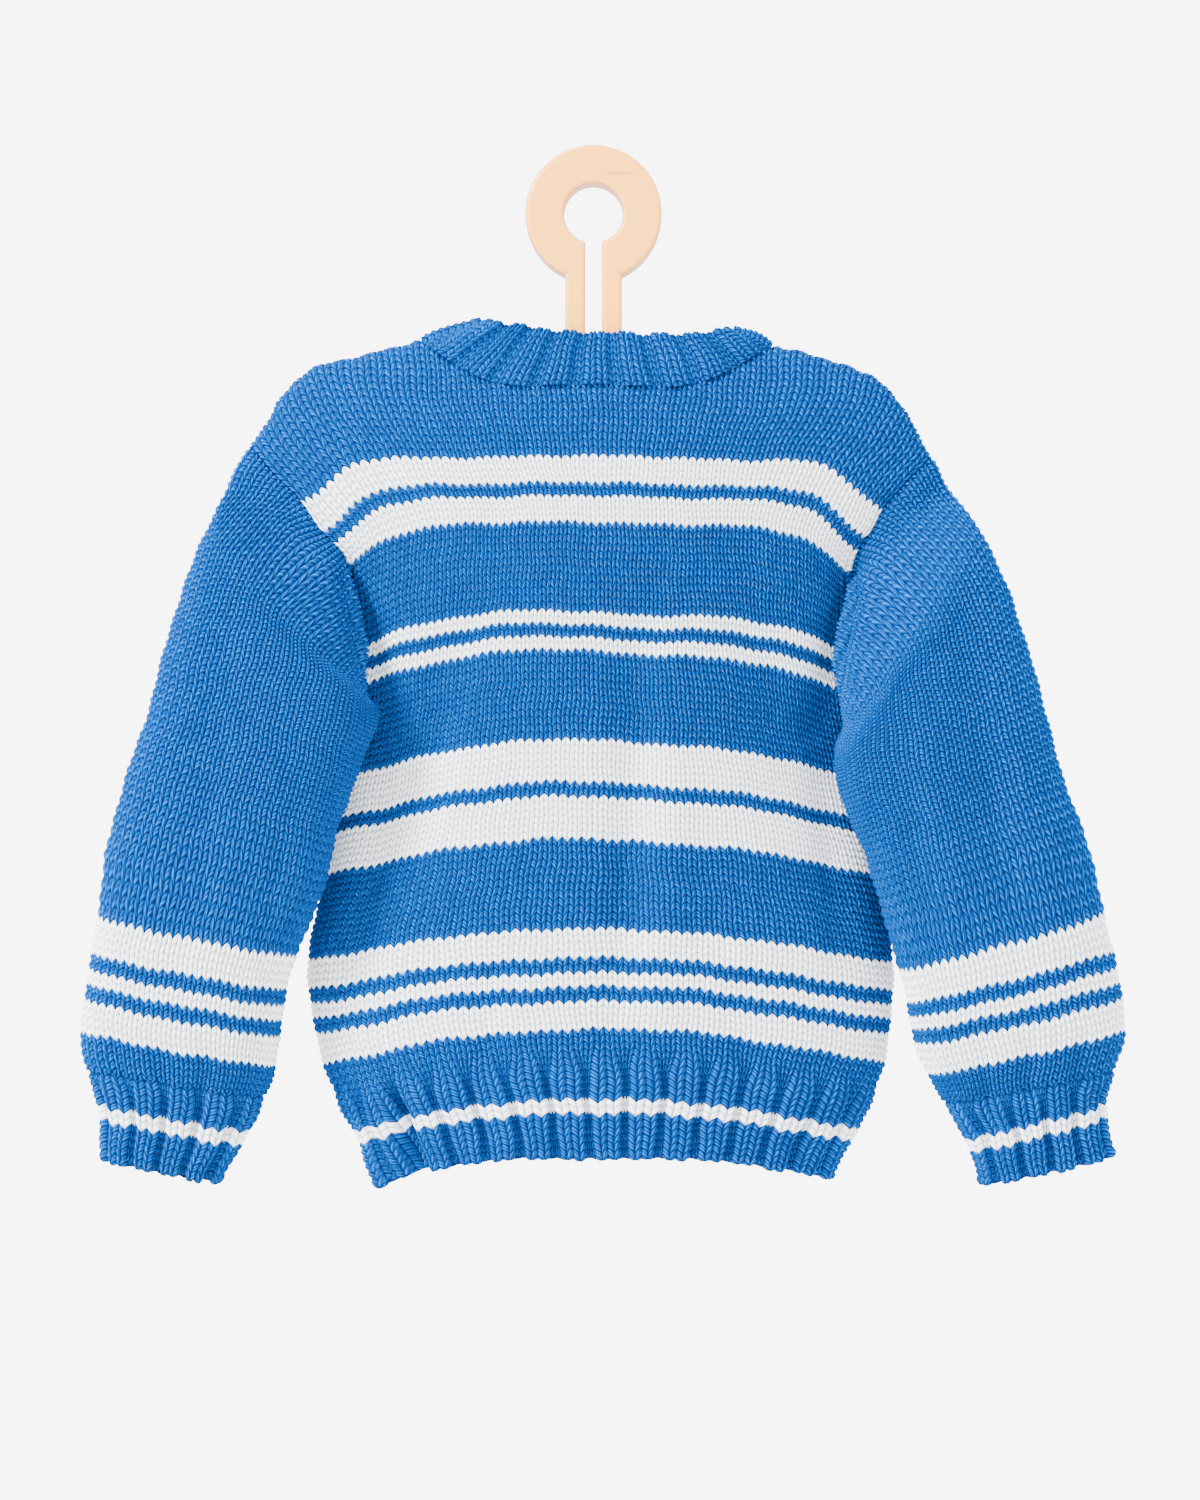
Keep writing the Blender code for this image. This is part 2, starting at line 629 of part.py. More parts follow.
def neckband(grids):
    left, back, right = neck_path(grids)
    path = np.concatenate([left, back[1:-1], right])
    shares, rise = rib_lines(NECKBAND_STITCHES)
    base, length = walk(path, shares)
    marks = length[[0, len(left) - 1, len(left) + len(back) // 2 - 1, len(path) - len(right), len(path) - 1]]
    along = np.interp(shares * length[-1], marks, [0, 1, 2, 3, 4])
    top = np.stack([read(NECKBAND_TOP, NECKBAND_COLUMNS, c, along) for c in "xyz"], axis=-1)
    seated = base + unit(top - base) * RIB_GAP
    levels = NECKBAND_LEVELS[:, None, None]
    swell = NECKBAND_SWELL * np.sin(np.pi * levels)
    grid = seated * (1 - levels) + top * levels
    facing = neckband_facing(grid)
    grid = grid + facing * swell
    return grid, NECKBAND_RIBS[:, None] * rise, path


def neckband_facing(grid):
    """The outer side of the band, which looks away from the middle of the neck."""
    found = normals(grid)
    middle = grid.mean(axis=(0, 1))
    outwards = np.sign(((grid - middle) * found).sum(axis=-1).mean())
    return found * outwards


# ---- front bands ----


def band(side, grids):
    """A front band: it steps off the front's edge, under or over its fellow."""
    over = -1 if side < 0 else 1
    front = grids["front_left" if side < 0 else "front_right"]
    hem = grids["hem_front_left" if side < 0 else "hem_front_right"]
    end = grids["neckband"][1:, 0 if side < 0 else -1]
    edge = np.concatenate([hem[:-1, -1], front[1:, -1], end])
    shares, rise = rib_lines(BAND_STITCHES)
    across = -side * shares * (FRONT_EDGE_X + BAND_REACH)
    step = BAND_STEP * np.clip(shares * BAND_STITCHES / BAND_STEP_STITCHES, 0, 1) * -over
    grid = np.repeat(edge[:, None, :], len(shares), axis=1)
    grid[..., 0] = side * (FRONT_EDGE_X - SEAM_GAP / 2) + across
    grid[..., 1] += step
    return grid, np.ones(len(edge))[:, None] * rise


def button(number, place):
    bpy.ops.mesh.primitive_cylinder_add(
        vertices=BUTTON_SIDES, radius=BUTTON_RADIUS * MM, depth=BUTTON_THICK * MM
    )
    disc = bpy.context.object
    disc.name = f"button_{number}"
    disc.data.name = disc.name
    disc.data.materials.append(material_of("button_blue"))
    disc.rotation_euler = (math.radians(90), 0, 0)
    disc.location = [value * MM for value in place]
    rounded = disc.modifiers.new("rounded", "BEVEL")
    rounded.width = BUTTON_EDGE * MM
    rounded.segments = 1
    rounded.limit_method = "ANGLE"
    cut = disc.modifiers.new("thread_holes", "BOOLEAN")
    cut.operation = "DIFFERENCE"
    cut.solver = "EXACT"
    cut.object = thread_holes(disc)
    move_to(disc, PARTS)


def thread_holes(disc):
    mesh = bmesh.new()
    for x in (-1, 1):
        for z in (-1, 1):
            made = bmesh.ops.create_cone(
                mesh,
                cap_ends=True,
                segments=BUTTON_HOLE_SIDES,
                radius1=BUTTON_HOLE_RADIUS * MM,
                radius2=BUTTON_HOLE_RADIUS * MM,
                depth=BUTTON_THICK * 3 * MM,
            )
            way = (x * BUTTON_HOLE_OFFSET * MM, z * BUTTON_HOLE_OFFSET * MM, 0)
            bmesh.ops.translate(mesh, vec=way, verts=made["verts"])
    data = bpy.data.meshes.new("thread_holes")
    mesh.to_mesh(data)
    mesh.free()
    holes = bpy.data.objects.new(f"{disc.name}_holes", data)
    holes.rotation_euler = disc.rotation_euler
    holes.location = disc.location
    holes.hide_render = True
    holes.display_type = "WIRE"
    CUTTERS.objects.link(holes)
    return holes


def move_to(piece, collection):
    for old in piece.users_collection:
        old.objects.unlink(piece)
    collection.objects.link(piece)


def buttons(grid):
    """Buttons sewn on the lower band show on the upper one, each just clear of its raised stitches."""
    heights = np.linspace(TOP_BUTTON_Z, BOTTOM_BUTTON_Z, BUTTONS)
    middle = grid.shape[1] // 2
    line = grid[:, middle]
    for number, height in enumerate(heights, 1):
        near = np.abs(line[:, 2] - height) < BUTTON_SEAT
        face = max(line[near, 1].max(), np.interp(height, line[:, 2], line[:, 1]))
        out = face + WALL / 2 + RIB_RISE + SEAM_GAP + BUTTON_THICK / 2
        button(number, (0, out, height))


# ---- hanger ----


def arc(centre, radius, first, last, steps):
    angles = np.radians(np.linspace(first, last, steps))
    return [(centre[0] + radius * math.cos(a), centre[1] + radius * math.sin(a)) for a in angles]


def hanger_outline():
    """Half of the outline, from the ring's crown, down the right prong, round the right arm, to the middle."""
    centre = (0, -HOLE_RADIUS)
    join = math.degrees(math.asin(PRONG_HALF / RING_RADIUS))
    crown = arc(centre, RING_RADIUS, 90, -90 + join, RING_SIDES)
    arm = ARM_TOP + arc(ARM_TIP, ARM_TIP_RADIUS, *ARM_TIP_TURN, ARM_TIP_SIDES) + ARM_UNDER
    return crown + PRONG_FOOT + arm


def hanger():
    centre = (0, -HOLE_RADIUS)
    right = hanger_outline()
    left = [(-x, z) for x, z in right[1:-1]][::-1]
    slot_angle = math.degrees(math.asin(SLOT_HALF / HOLE_RADIUS))
    hole = arc(centre, HOLE_RADIUS, -90 + slot_angle, 270 - slot_angle, RING_SIDES + 1)
    slot = arc((0, SLOT_END + SLOT_HALF), SLOT_HALF, 180, 360, SLOT_END_SIDES)
    flat = bpy.data.curves.new("hanger", "CURVE")
    flat.dimensions = "2D"
    flat.fill_mode = "BOTH"
    flat.extrude = (HANGER_THICK / 2 - HANGER_EDGE) * MM
    flat.bevel_depth = HANGER_EDGE * MM
    flat.bevel_resolution = 1
    flat.offset = -HANGER_EDGE * MM
    for outline in (right + left, hole + slot):
        spline = flat.splines.new("POLY")
        spline.points.add(len(outline) - 1)
        for point, (x, z) in zip(spline.points, outline):
            point.co = (x * MM, z * MM, 0, 1)
        spline.use_cyclic_u = True
    flat.materials.append(material_of("birch_plywood"))
    plate = bpy.data.objects.new("hanger", flat)
    plate.rotation_euler = (math.radians(90), 0, 0)
    PARTS.objects.link(plate)


# ---- the whole ----


def clear_scene():
    for old in list(bpy.data.objects):
        bpy.data.objects.remove(old, do_unlink=True)


def new_collection(name):
    made = bpy.data.collections.new(name)
    bpy.context.scene.collection.children.link(made)
    return made


def cloth():
    grids = {"back": back_grid(), "front_left": front_grid(-1), "front_right": front_grid(1)}
    for side in (-1, 1):
        join_front(side, grids)
    rises = {}
    loops = {}
    for side, name in ((-1, "left"), (1, "right")):
        loops[name] = armhole(side, grids["back"], grids[f"front_{name}"])
        courses, places = sleeve_lines(name, loops[name])
        grids[f"sleeve_{name}"] = along_sleeve(courses, places, SLEEVE_ROWS)
        grids[f"cuff_{name}"], rises[f"cuff_{name}"] = cuff(name)
        grids[f"hem_front_{name}"], rises[f"hem_front_{name}"] = hem_front(side)
    grids["hem_back"], rises["hem_back"] = hem_back()
    grids["hem_front_left"][:, 0] = grids["hem_back"][:, 0]
    grids["hem_front_right"][:, 0] = grids["hem_back"][:, -1]
    grids["neckband"], rises["neckband"], neck_line = neckband(grids)
    for side, name in ((-1, "buttonhole_band"), (1, "button_band")):
        grids[name], rises[name] = band(side, grids)
    facings = {name: normals(grid) * OUTSIDE[name] for name, grid in grids.items()}
    facings["neckband"] = neckband_facing(grids["neckband"])
    fit_neck(facings, grids, neck_line)
    square_front(facings)
    meet(grids, facings, SEWN, {key_of(loops[name][0]): underarm_facing(name, grids) for name in loops})
    for name, grid in grids.items():
        wall(name, grid, facings[name], rises.get(name))
    return grids


def square_front(facings):
    """Both bands and the edges beside them face straight forwards, so that their sides are square."""
    ahead = np.array([0.0, 1.0, 0.0])
    for name in ("buttonhole_band", "button_band"):
        facings[name][:] = ahead
    for name in ("front_left", "front_right", "hem_front_left", "hem_front_right"):
        facings[name][:, -1] = ahead
    for end in (0, -1):
        facings["neckband"][:, end] = unit(facings["neckband"][:, end] * np.array([0, 1, 1]))


def fit_neck(facings, grids, path):
    """The neckband and the panels that it grows from get one shared direction where they meet."""
    left, back, right = neck_path(facings)
    panel = np.concatenate([left, back[1:-1], right])
    shares, _ = rib_lines(NECKBAND_STITCHES)
    _, length = walk(path, shares)
    places = shares * length[-1]
    below = np.stack([np.interp(places, length, panel[:, k]) for k in range(3)], axis=-1)
    above = facings["neckband"][0]
    facings["neckband"][0] = unit(below + above)
    shared = np.stack([np.interp(length, places, facings["neckband"][0][:, k]) for k in range(3)], axis=-1)
    fronts = len(left)
    backs = len(back)
    shared[[fronts - 1, fronts + backs - 2], 1] = 0
    shared = unit(shared)
    facings["front_left"][-1, FRONT_NECK_START:] = shared[:fronts][::-1]
    facings["back"][-1, NECK_LINES] = shared[fronts - 1 : fronts - 1 + backs]
    facings["front_right"][-1, FRONT_NECK_START:] = shared[-len(right) :]


SLEEVE_START = CUFF_TOP + RIB_GAP / 2 / COURSE_HEIGHT
SLEEVE_ROWS = np.array([SLEEVE_START, 17, 21, 26, 31, 38, 45, 52, 59, 65, 70, 75, 78, 80.5, 83.5, 86])
OUTSIDE = {
    "back": 1,
    "front_left": -1,
    "front_right": 1,
    "hem_back": 1,
    "hem_front_left": -1,
    "hem_front_right": 1,
    "sleeve_left": -1,
    "sleeve_right": 1,
    "cuff_left": -1,
    "cuff_right": 1,
    "neckband": 1,
    "buttonhole_band": -1,
    "button_band": 1,
}
SEWN = {
    "back": ("start", "end", "top"),
    "front_left": ("start", "end", "top"),
    "front_right": ("start", "end", "top"),
    "hem_back": ("start", "end"),
    "hem_front_left": ("start", "end"),
    "hem_front_right": ("start", "end"),
    "sleeve_left": ("start", "end", "top"),
    "sleeve_right": ("start", "end", "top"),
    "cuff_left": ("start", "end"),
    "cuff_right": ("start", "end"),
}

clear_scene()
PARTS = new_collection("striped_cardigan")
CUTTERS = new_collection("cutters")
SEWN_GRIDS = cloth()
buttons(SEWN_GRIDS["buttonhole_band"])
hanger()
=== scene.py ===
# %% [markdown]
# # A child's striped cardigan on a plywood hanger
#
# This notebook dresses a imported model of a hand-knitted cardigan, seen from its back, hanging on a flat
# plywood hanger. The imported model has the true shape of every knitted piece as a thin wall. Here each wall
# gets its stitches: about twenty-five thousand small V shapes, in blue and white yarn. Then come the materials,
# the light and the camera.
#
# Everything is placed by stitch. A **wale** is one column of stitches and a **course** is one row of them,
# counted up from the cast-on edge. A stripe is then simply a range of courses, and it bends with the cloth.

import math

import bmesh
import bpy
import numpy as np
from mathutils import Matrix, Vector


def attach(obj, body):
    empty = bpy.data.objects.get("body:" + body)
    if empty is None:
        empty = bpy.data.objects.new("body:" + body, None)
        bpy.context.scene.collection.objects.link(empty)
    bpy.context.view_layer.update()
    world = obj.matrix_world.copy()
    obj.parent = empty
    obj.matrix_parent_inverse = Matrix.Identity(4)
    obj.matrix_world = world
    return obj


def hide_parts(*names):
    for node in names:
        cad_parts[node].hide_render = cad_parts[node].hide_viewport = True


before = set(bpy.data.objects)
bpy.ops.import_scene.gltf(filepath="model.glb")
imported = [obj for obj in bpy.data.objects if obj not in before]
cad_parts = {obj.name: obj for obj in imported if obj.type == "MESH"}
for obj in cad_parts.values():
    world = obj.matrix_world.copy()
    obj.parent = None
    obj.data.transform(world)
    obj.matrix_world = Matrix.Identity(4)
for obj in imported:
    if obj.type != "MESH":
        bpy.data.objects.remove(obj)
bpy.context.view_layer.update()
MM = 0.001
print("nodes:", ", ".join(sorted(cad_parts)))

# %% [markdown]
# ## The sizes of the cloth
#
# A knitter works to a gauge: so many stitches and so many rows in ten centimetres. These are the counts of
# this cardigan. The tables give the place of some of the courses in millimetres, and smooth curves through
# them give all the others. They are the same tables as the model's own, so the stitches lie on its walls.
# Heights and widths were measured in the photograph. Depths, which it doesn't show, were judged.

# %% Counts and sizes: lengths are in mm
WALL = 2.5  # thickness of the plain knitting
COURSE_HEIGHT = 3.0
RIB_REPEAT = 4  # two stitches knitted, two purled
RIB_PAIR = 2

BACK_WALES = 66
HALF_BACK = BACK_WALES / 2
NECK_WALE = 17  # where the shoulder seam meets the neckband, counted from the centre
# the courses at which the hem ends, the armhole starts, and the shoulder seam and the neck reach the hanger
HEM_TOP = 14
UNDERARM = 67
SHOULDER_TIP = 107
SHOULDER_NECK = 115
NECK_RIDGE = 118
SHOULDER_ROUND = 45.0  # over how many mm the cloth closes onto the hanger
FRONT_EDGE_X = 10.0

CUFF_TOP = 13
SLEEVE_TOP = 86
HEAD_COURSE = 80.5  # here the sleeve's cloth still leaves the armhole in the shoulder's direction
SLEEVE_SQUARE = 2.4  # over 2, the flattened ring of a sleeve is fuller than an ellipse
BAND_REACH = 5.5  # how far a front band goes past the middle
BAND_STEP = 2.1  # how far it steps over or under its fellow
BAND_STEP_STITCHES = 1.5
NECKBAND_SWELL = 1.5  # how far the neckband bulges halfway up

# %% The body's courses: their height, half widths, drop at the sides, depth and fold
BODY_COLUMNS = "course middle left left_drop right right_drop flat turn back front axis edge".split()
BODY = [
    (0, -403.0, -85.5, 12.2, 97.2, 11.2, 0.30, 112, 30, 15, 5.0, 0.92),
    (6, -384.9, -94.2, 13.3, 105.1, 14.1, 0.10, 112, 31, 15, 5.0, 0.92),
    (14, -361.9, -106.4, 18.1, 116.2, 16.3, 0.00, 112, 33, 15, 6.0, 0.92),
    (22, -339.1, -114.9, 16.2, 122.5, 16.2, 0.00, 112, 35, 15, 7.0, 0.92),
    (32, -309.3, -118.5, 15.5, 124.3, 16.8, 0.00, 110, 36, 15, 8.0, 1.00),
    (44, -272.2, -111.4, 17.1, 119.0, 17.6, 0.00, 104, 36, 15, 8.0, 1.30),
    (58, -231.8, -105.9, 17.1, 113.4, 18.1, 0.05, 96, 35, 14, 8.0, 1.70),
    (67, -204.8, -102.8, 17.0, 110.3, 19.5, 0.12, 90, 34, 13, 7.0, 1.60),
    (71, -192.6, -106.2, 16.8, 112.9, 18.8, 0.17, 75, 33, 13, 6.5, 1.60),
    (76, -179.7, -107.2, 16.2, 113.4, 16.9, 0.25, 72, 33, 12, 6.0, 1.60),
    (88, -143.6, -110.1, 15.2, 115.9, 15.8, 0.45, 67, 30, 12, 5.0, 1.40),
    (98, -116.2, -134.7, 15.1, 134.6, 17.1, 0.58, 63, 25, 12, 4.0, 1.20),
    (107, -88.2, -162.1, 22.3, 161.0, 25.4, 0.74, 61, 19, 12, 3.0, 1.00),
    (115, -63.2, -174.2, 28.5, 172.1, 31.5, 0.78, 60, 15, 12, 2.0, 1.00),
]
DROP_POWER = 1.8  # over 1, a course drops mostly near its sides
SIDE_FOLD = 0.92  # under 1, the rings turn more sharply at the sides
FRONT_FLATNESS = 0.7  # under 1, the fronts are flatter than the back
TROUGH_FADE = 0.7  # under 1, a trough keeps its depth nearer to its ends
RING_STEPS = 73  # places that measure half a ring's length
SLEEVE_STEPS = 193  # and a sleeve's whole ring
UNDERARM_OUT = 0.6  # how far the cloth at the underarm looks outwards

# how high the fronts and the back reach: the wale, counted from the centre, and its topmost course
FRONT_NECK = [(2.4, 94.5), (6, 96.5), (9, 100.0), (12, 105.0), (15, 111.0), (17, 115.0)]
BACK_NECK = [(0, 108.0), (8, 108.0), (11, 109.2), (14, 111.9), (17, 115.0)]
BAND_WALE = FRONT_NECK[0][0]  # where a front meets its band

# the shoulder seam from the neckband to the armhole: x, z
SHOULDERS = {
    "left": [
        (-72.4, -65.4), (-99.3, -71.4), (-114.8, -75.7), (-121.4, -79.4), (-126.4, -83.7),
        (-130.1, -87.9), (-132.5, -92.0), (-136.9, -100.2), (-140.0, -104.5), (-142.7, -108.7),
    ],
    "right": [
        (74.9, -67.4), (93.6, -71.4), (107.2, -75.8), (116.6, -79.9), (121.6, -83.9),
        (125.7, -88.1), (131.6, -96.0), (135.9, -104.4), (139.9, -112.7),
    ],
}

# long soft troughs in the back: x and z at the top, x and z at the bottom, half width, depth
TROUGHS = [
    (16, -172, 8, -373, 9, 3.2),
    (-52, -167, -80, -301, 11, 2.6),
    (62, -162, 88, -301, 12, 2.8),
    (-40, -317, -48, -401, 8, 2.0),
    (58, -322, 66, -401, 8, 2.0),
]

print("tables for", len(BODY), "courses of the body and", len(TROUGHS), "soft troughs")

# %% The sleeves' courses: the two edges of the flattened tube, its middle in depth, its thickness
SLEEVE_COLUMNS = "course outer_x outer_z inner_x inner_z y depth".split()
SLEEVES = {
    "left": [
        (0, -200.0, -404.4, -156.1, -413.1, -15, 20),
        (7, -200.8, -382.2, -144.5, -392.5, -15, 24),
        (13, -207.3, -365.7, -135.6, -376.4, -16, 29),
        (17, -209.3, -352.1, -131.9, -366.1, -17, 33),
        (21, -207.8, -338.9, -130.7, -353.8, -18, 36),
        (31, -202.1, -306.0, -123.8, -321.2, -20, 38),
        (37, -197.0, -272.6, -112.6, -295.3, -22, 39),
        (44, -188.5, -243.8, -106.0, -268.8, -23, 38),
        (52, -179.0, -214.9, -99.0, -249.8, -24, 38),
        (60, -172.4, -188.1, -92.8, -233.0, -23, 38),
        (68, -164.4, -163.4, -88.8, -221.5, -21, 36),
        (75, -156.7, -142.8, -90.5, -218.0, -17, 33),
    ],
    "right": [
        (0, 211.6, -403.2, 161.7, -414.3, -15, 20),
        (7, 208.2, -382.2, 155.6, -395.4, -15, 24),
        (13, 213.2, -365.7, 144.6, -378.9, -16, 29),
        (17, 217.1, -351.7, 138.9, -369.4, -17, 33),
        (21, 215.9, -338.5, 133.7, -357.1, -18, 36),
        (31, 208.4, -304.7, 127.1, -327.0, -20, 38),
        (37, 200.3, -272.6, 118.0, -297.4, -22, 39),
        (44, 189.6, -243.8, 111.5, -275.5, -23, 38),
        (52, 183.2, -219.0, 103.5, -258.8, -24, 38),
        (60, 175.7, -192.3, 99.8, -245.3, -23, 38),
        (68, 167.5, -167.5, 100.0, -236.8, -21, 36),
        (75, 157.2, -144.9, 102.8, -230.5, -17, 33),
    ],
}
# the way the sleeve's cloth leaves the armhole: around: 0 and 1 underarm, 0.25 back, 0.5 shoulder, 0.75 front
HEAD_COLUMNS = "around out towards_wall up".split()
HEAD_WAY = [
    (0.0, -5, -13, -1),
    (0.10, -8, -15, -1),
    (0.20, -2, -13, -4),
    (0.35, 11, -5, -9),
    (0.50, 8, 0, -15),
    (0.65, 10, 4, -10),
    (0.80, 10, 1, -8),
    (0.92, 6, -7, -7),
    (1.0, -5, -13, -1),
]

# the neckband's upper edge, along the neck: 0 left front, 1 left shoulder, 2 centre back, 3 and 4 on the right
NECKBAND_COLUMNS = "along x y z".split()
NECKBAND_TOP = [
    (0, -10.0, 14.0, -105.5),
    (0.5, -33.5, 13.5, -91.5),
    (0.85, -46.1, 8.0, -65.4),
    (1, -46.6, -1.0, -57.9),
    (1.25, -36.2, -8.5, -59.3),
    (2, 0.0, -9.5, -62.9),
    (2.7, 44.2, -9.0, -63.4),
    (3, 57.6, -1.0, -61.0),
    (3.15, 54.6, 8.0, -68.4),
    (3.5, 34.4, 13.5, -93.5),
    (4, 10.0, 14.0, -105.5),
]
print("tables for", {name: len(rows) for name, rows in SLEEVES.items()}, "courses of the sleeves")

# %% [markdown]
# ## Curves through a table
#
# Three helpers do the reading: one curve that never overshoots, one walk along a line by its length, and one
# smooth sheet through a grid of places. The last is what lets a stitch sit anywhere on the cloth. The first and
# the last join cubic curves, each of which is fixed by the values and the slopes at its two ends.


# %% Helpers that read the tables
def column(table, names, name):
    return np.array([row[names.index(name)] for row in table], float)


def stretch(knots, at):
    """Between which two knots each place falls: the first one's number, their distance and the share passed."""
    at = np.clip(np.asarray(at, float), knots[0], knots[-1])
    k = np.clip(np.searchsorted(knots, at, side="right") - 1, 0, len(knots) - 2)
    rise = knots[k + 1] - knots[k]
    return k, rise, (at - knots[k]) / rise


def cubic(values, tangent, k, rise, t):
    """The curve with these values and tangents at its knots."""
    return (
        values[k] * (1 + 2 * t) * (1 - t) ** 2
        + tangent[k] * rise * t * (1 - t) ** 2
        + values[k + 1] * t * t * (3 - 2 * t)
        + tangent[k + 1] * rise * t * t * (t - 1)
    )


def smooth(places, values, at):
    """A curve through all the values, with no overshoot where they stop rising or falling."""
    slope = np.diff(values) / np.diff(places)
    inner = np.where(
        slope[1:] * slope[:-1] > 0,
        2 * slope[1:] * slope[:-1] / (slope[1:] + slope[:-1] + 1e-12),
        0.0,
    )
    tangent = np.concatenate([[slope[0]], inner, [slope[-1]]])
    return cubic(values, tangent, *stretch(places, at))


def read(table, names, name, at):
    return smooth(column(table, names, names[0]), column(table, names, name), at)


def power(value, exponent):
    """A power that keeps the value's sign."""
    return np.sign(value) * np.abs(value) ** exponent


def unit(way):
    return way / (np.linalg.norm(way, axis=-1, keepdims=True) + 1e-12)


def lengths(path):
    """How long a path is up to each of its places."""
    return np.concatenate([[0], np.cumsum(np.linalg.norm(np.diff(path, axis=0), axis=1))])


def between(at, known, values):
    """Straight lines between known places or directions."""
    return np.stack([np.interp(at, known, values[:, k]) for k in range(3)], axis=-1)


def walk(path, share):
    """Places at shares of a path's length, and its lengths."""
    length = lengths(path)
    return between(share * length[-1], length, path), length


# %% A smooth sheet through a grid of places
def slopes(values, knots):
    """How fast the values change along the first axis, at every knot."""
    shape = (-1,) + (1,) * (values.ndim - 1)
    found = np.empty_like(values)
    found[1:-1] = (values[2:] - values[:-2]) / (knots[2:] - knots[:-2]).reshape(shape)
    found[0] = (values[1] - values[0]) / (knots[1] - knots[0])
    found[-1] = (values[-1] - values[-2]) / (knots[-1] - knots[-2])
    return found


def weights(knots, at):
    """The stretch that each place falls in, and what its two ends count for there: values, then slopes."""
    k, rise, t = stretch(knots, at)
    rise, t = rise[..., None], t[..., None]
    value = ((1 + 2 * t) * (1 - t) ** 2, t * t * (3 - 2 * t))
    slope = (t * (1 - t) ** 2 * rise, t * t * (t - 1) * rise)
    return k, value, slope


def on_sheet(values, rows, cols, row_at, col_at):
    """The values of a grid at any rows and columns, on a smooth sheet through all of them."""
    row_at, col_at = np.broadcast_arrays(row_at, col_at)
    along_col = np.moveaxis(slopes(np.moveaxis(values, 1, 0), cols), 0, 1)
    along_row = slopes(values, rows)
    both = slopes(along_col, rows)
    r, row_value, row_slope = weights(rows, row_at)
    c, col_value, col_slope = weights(cols, col_at)
    total = 0
    for i in (0, 1):
        for j in (0, 1):
            at = (r + i, c + j)
            total = total + row_value[i] * (col_value[j] * values[at] + col_slope[j] * along_col[at])
            total = total + row_slope[i] * (col_value[j] * along_row[at] + col_slope[j] * both[at])
    return total


# %% [markdown]
# ## The drape of the body
#
# Hanging cloth keeps its length, so each course is a closed ring that is wide, nearly flat, and folded at the
# sides. Angle 0 is the centre back, 90 the right side seam and 180 the centre front. Stitches are shared out
# along the ring by length, as they are in real knitting. A cloth simulation could drape a flat cut instead, but
# its stripes and seams would then settle somewhere near their real places, and not on them.


# %% A ring of the body, and the stitches along it
def ring(course, angle):
    """The place on the body's ring at this course and angle."""
    row = {name: read(BODY, BODY_COLUMNS, name, course) for name in BODY_COLUMNS[1:]}
    sine, cosine = np.sin(np.radians(angle)), np.cos(np.radians(angle))
    right = sine > 0
    half = np.where(right, row["right"], -row["left"])
    drop = np.where(right, row["right_drop"], row["left_drop"])
    side = power(sine, SIDE_FOLD)
    back = -row["back"] * power(cosine, row["edge"])
    front = -row["front"] * power(cosine, FRONT_FLATNESS)
    depth = np.where(cosine > 0, back, front)
    level = np.maximum(0, np.abs(side) - row["flat"]) / (1 - row["flat"])
    height = row["middle"] - drop * level**DROP_POWER
    return np.stack([side * half, row["axis"] + depth, height], axis=-1)


def ring_at(course, angles):
    return ring(np.full(len(angles), float(course)), angles)


def by_stitches(course, first, last, share):
    """The angle that lies at this share of the cloth's length between two angles of the ring."""
    angles = np.linspace(first, last, RING_STEPS)
    length = lengths(ring_at(course, angles))
    return np.interp(share, length / length[-1], angles)


def ridge(wale):
    """The course at which this wale reaches the plane of the hanger."""
    across = np.abs(wale)
    outwards = (across - NECK_WALE) / (HALF_BACK - NECK_WALE)
    shoulder = SHOULDER_NECK + (SHOULDER_TIP - SHOULDER_NECK) * outwards
    inside = NECK_RIDGE + (SHOULDER_NECK - NECK_RIDGE) * (across / NECK_WALE) ** 2
    return np.where(across > NECK_WALE, shoulder, inside)


def draped(places, wale, course):
    """The cloth closes onto the hanger towards the shoulder seam."""
    below = np.clip((ridge(wale) - course) * COURSE_HEIGHT / SHOULDER_ROUND, 0, 1)
    places = places.copy()
    places[..., 1] *= np.sqrt(1 - (1 - below) ** 2)
    return places


def troughs(places, table):
    """How far the cloth sinks at each place: a table's row is a line, its half width and its depth."""
    sunk = np.zeros(places.shape[:-1])
    for x_top, z_top, x_bottom, z_bottom, spread, depth in table:
        along = (z_top - places[..., 2]) / (z_top - z_bottom)
        middle = x_top + (x_bottom - x_top) * along
        fade = np.sin(np.pi * np.clip(along, 0, 1)) ** TROUGH_FADE
        sunk += depth * fade * np.exp(-(((places[..., 0] - middle) / spread) ** 2))
    return sunk


def back_place(wale, course):
    turn = float(read(BODY, BODY_COLUMNS, "turn", course))
    angle = by_stitches(course, -turn, turn, (wale + HALF_BACK) / BACK_WALES)
    places = ring_at(course, angle)
    places[:, 1] += troughs(places, TROUGHS)
    return draped(places, wale, course)


def front_wale(share):
    return HALF_BACK + (BAND_WALE - HALF_BACK) * share


def front_place(side, share, course):
    """Share 0 is the side seam or armhole, 1 the edge at the band. Side -1 is left, 1 right."""
    turn = float(read(BODY, BODY_COLUMNS, "turn", course))
    first = turn if course <= UNDERARM else 180 - turn
    angles = np.linspace(first, 180, RING_STEPS)
    places = ring_at(course, side * angles)
    edge = np.interp(-FRONT_EDGE_X, -np.abs(places[:, 0]), angles)
    angle = by_stitches(course, side * first, side * edge, share)
    return draped(ring_at(course, angle), front_wale(share), course)


def topmost(across, neck):
    """The topmost course of each wale: the shoulder, or the neck's edge inside it."""
    neck = np.array(neck, float)
    return np.where(across > NECK_WALE, ridge(across), np.interp(across, neck[:, 0], neck[:, 1]))


def back_top(wale):
    return topmost(np.abs(wale), BACK_NECK)


def front_top(share):
    return topmost(front_wale(share), FRONT_NECK)


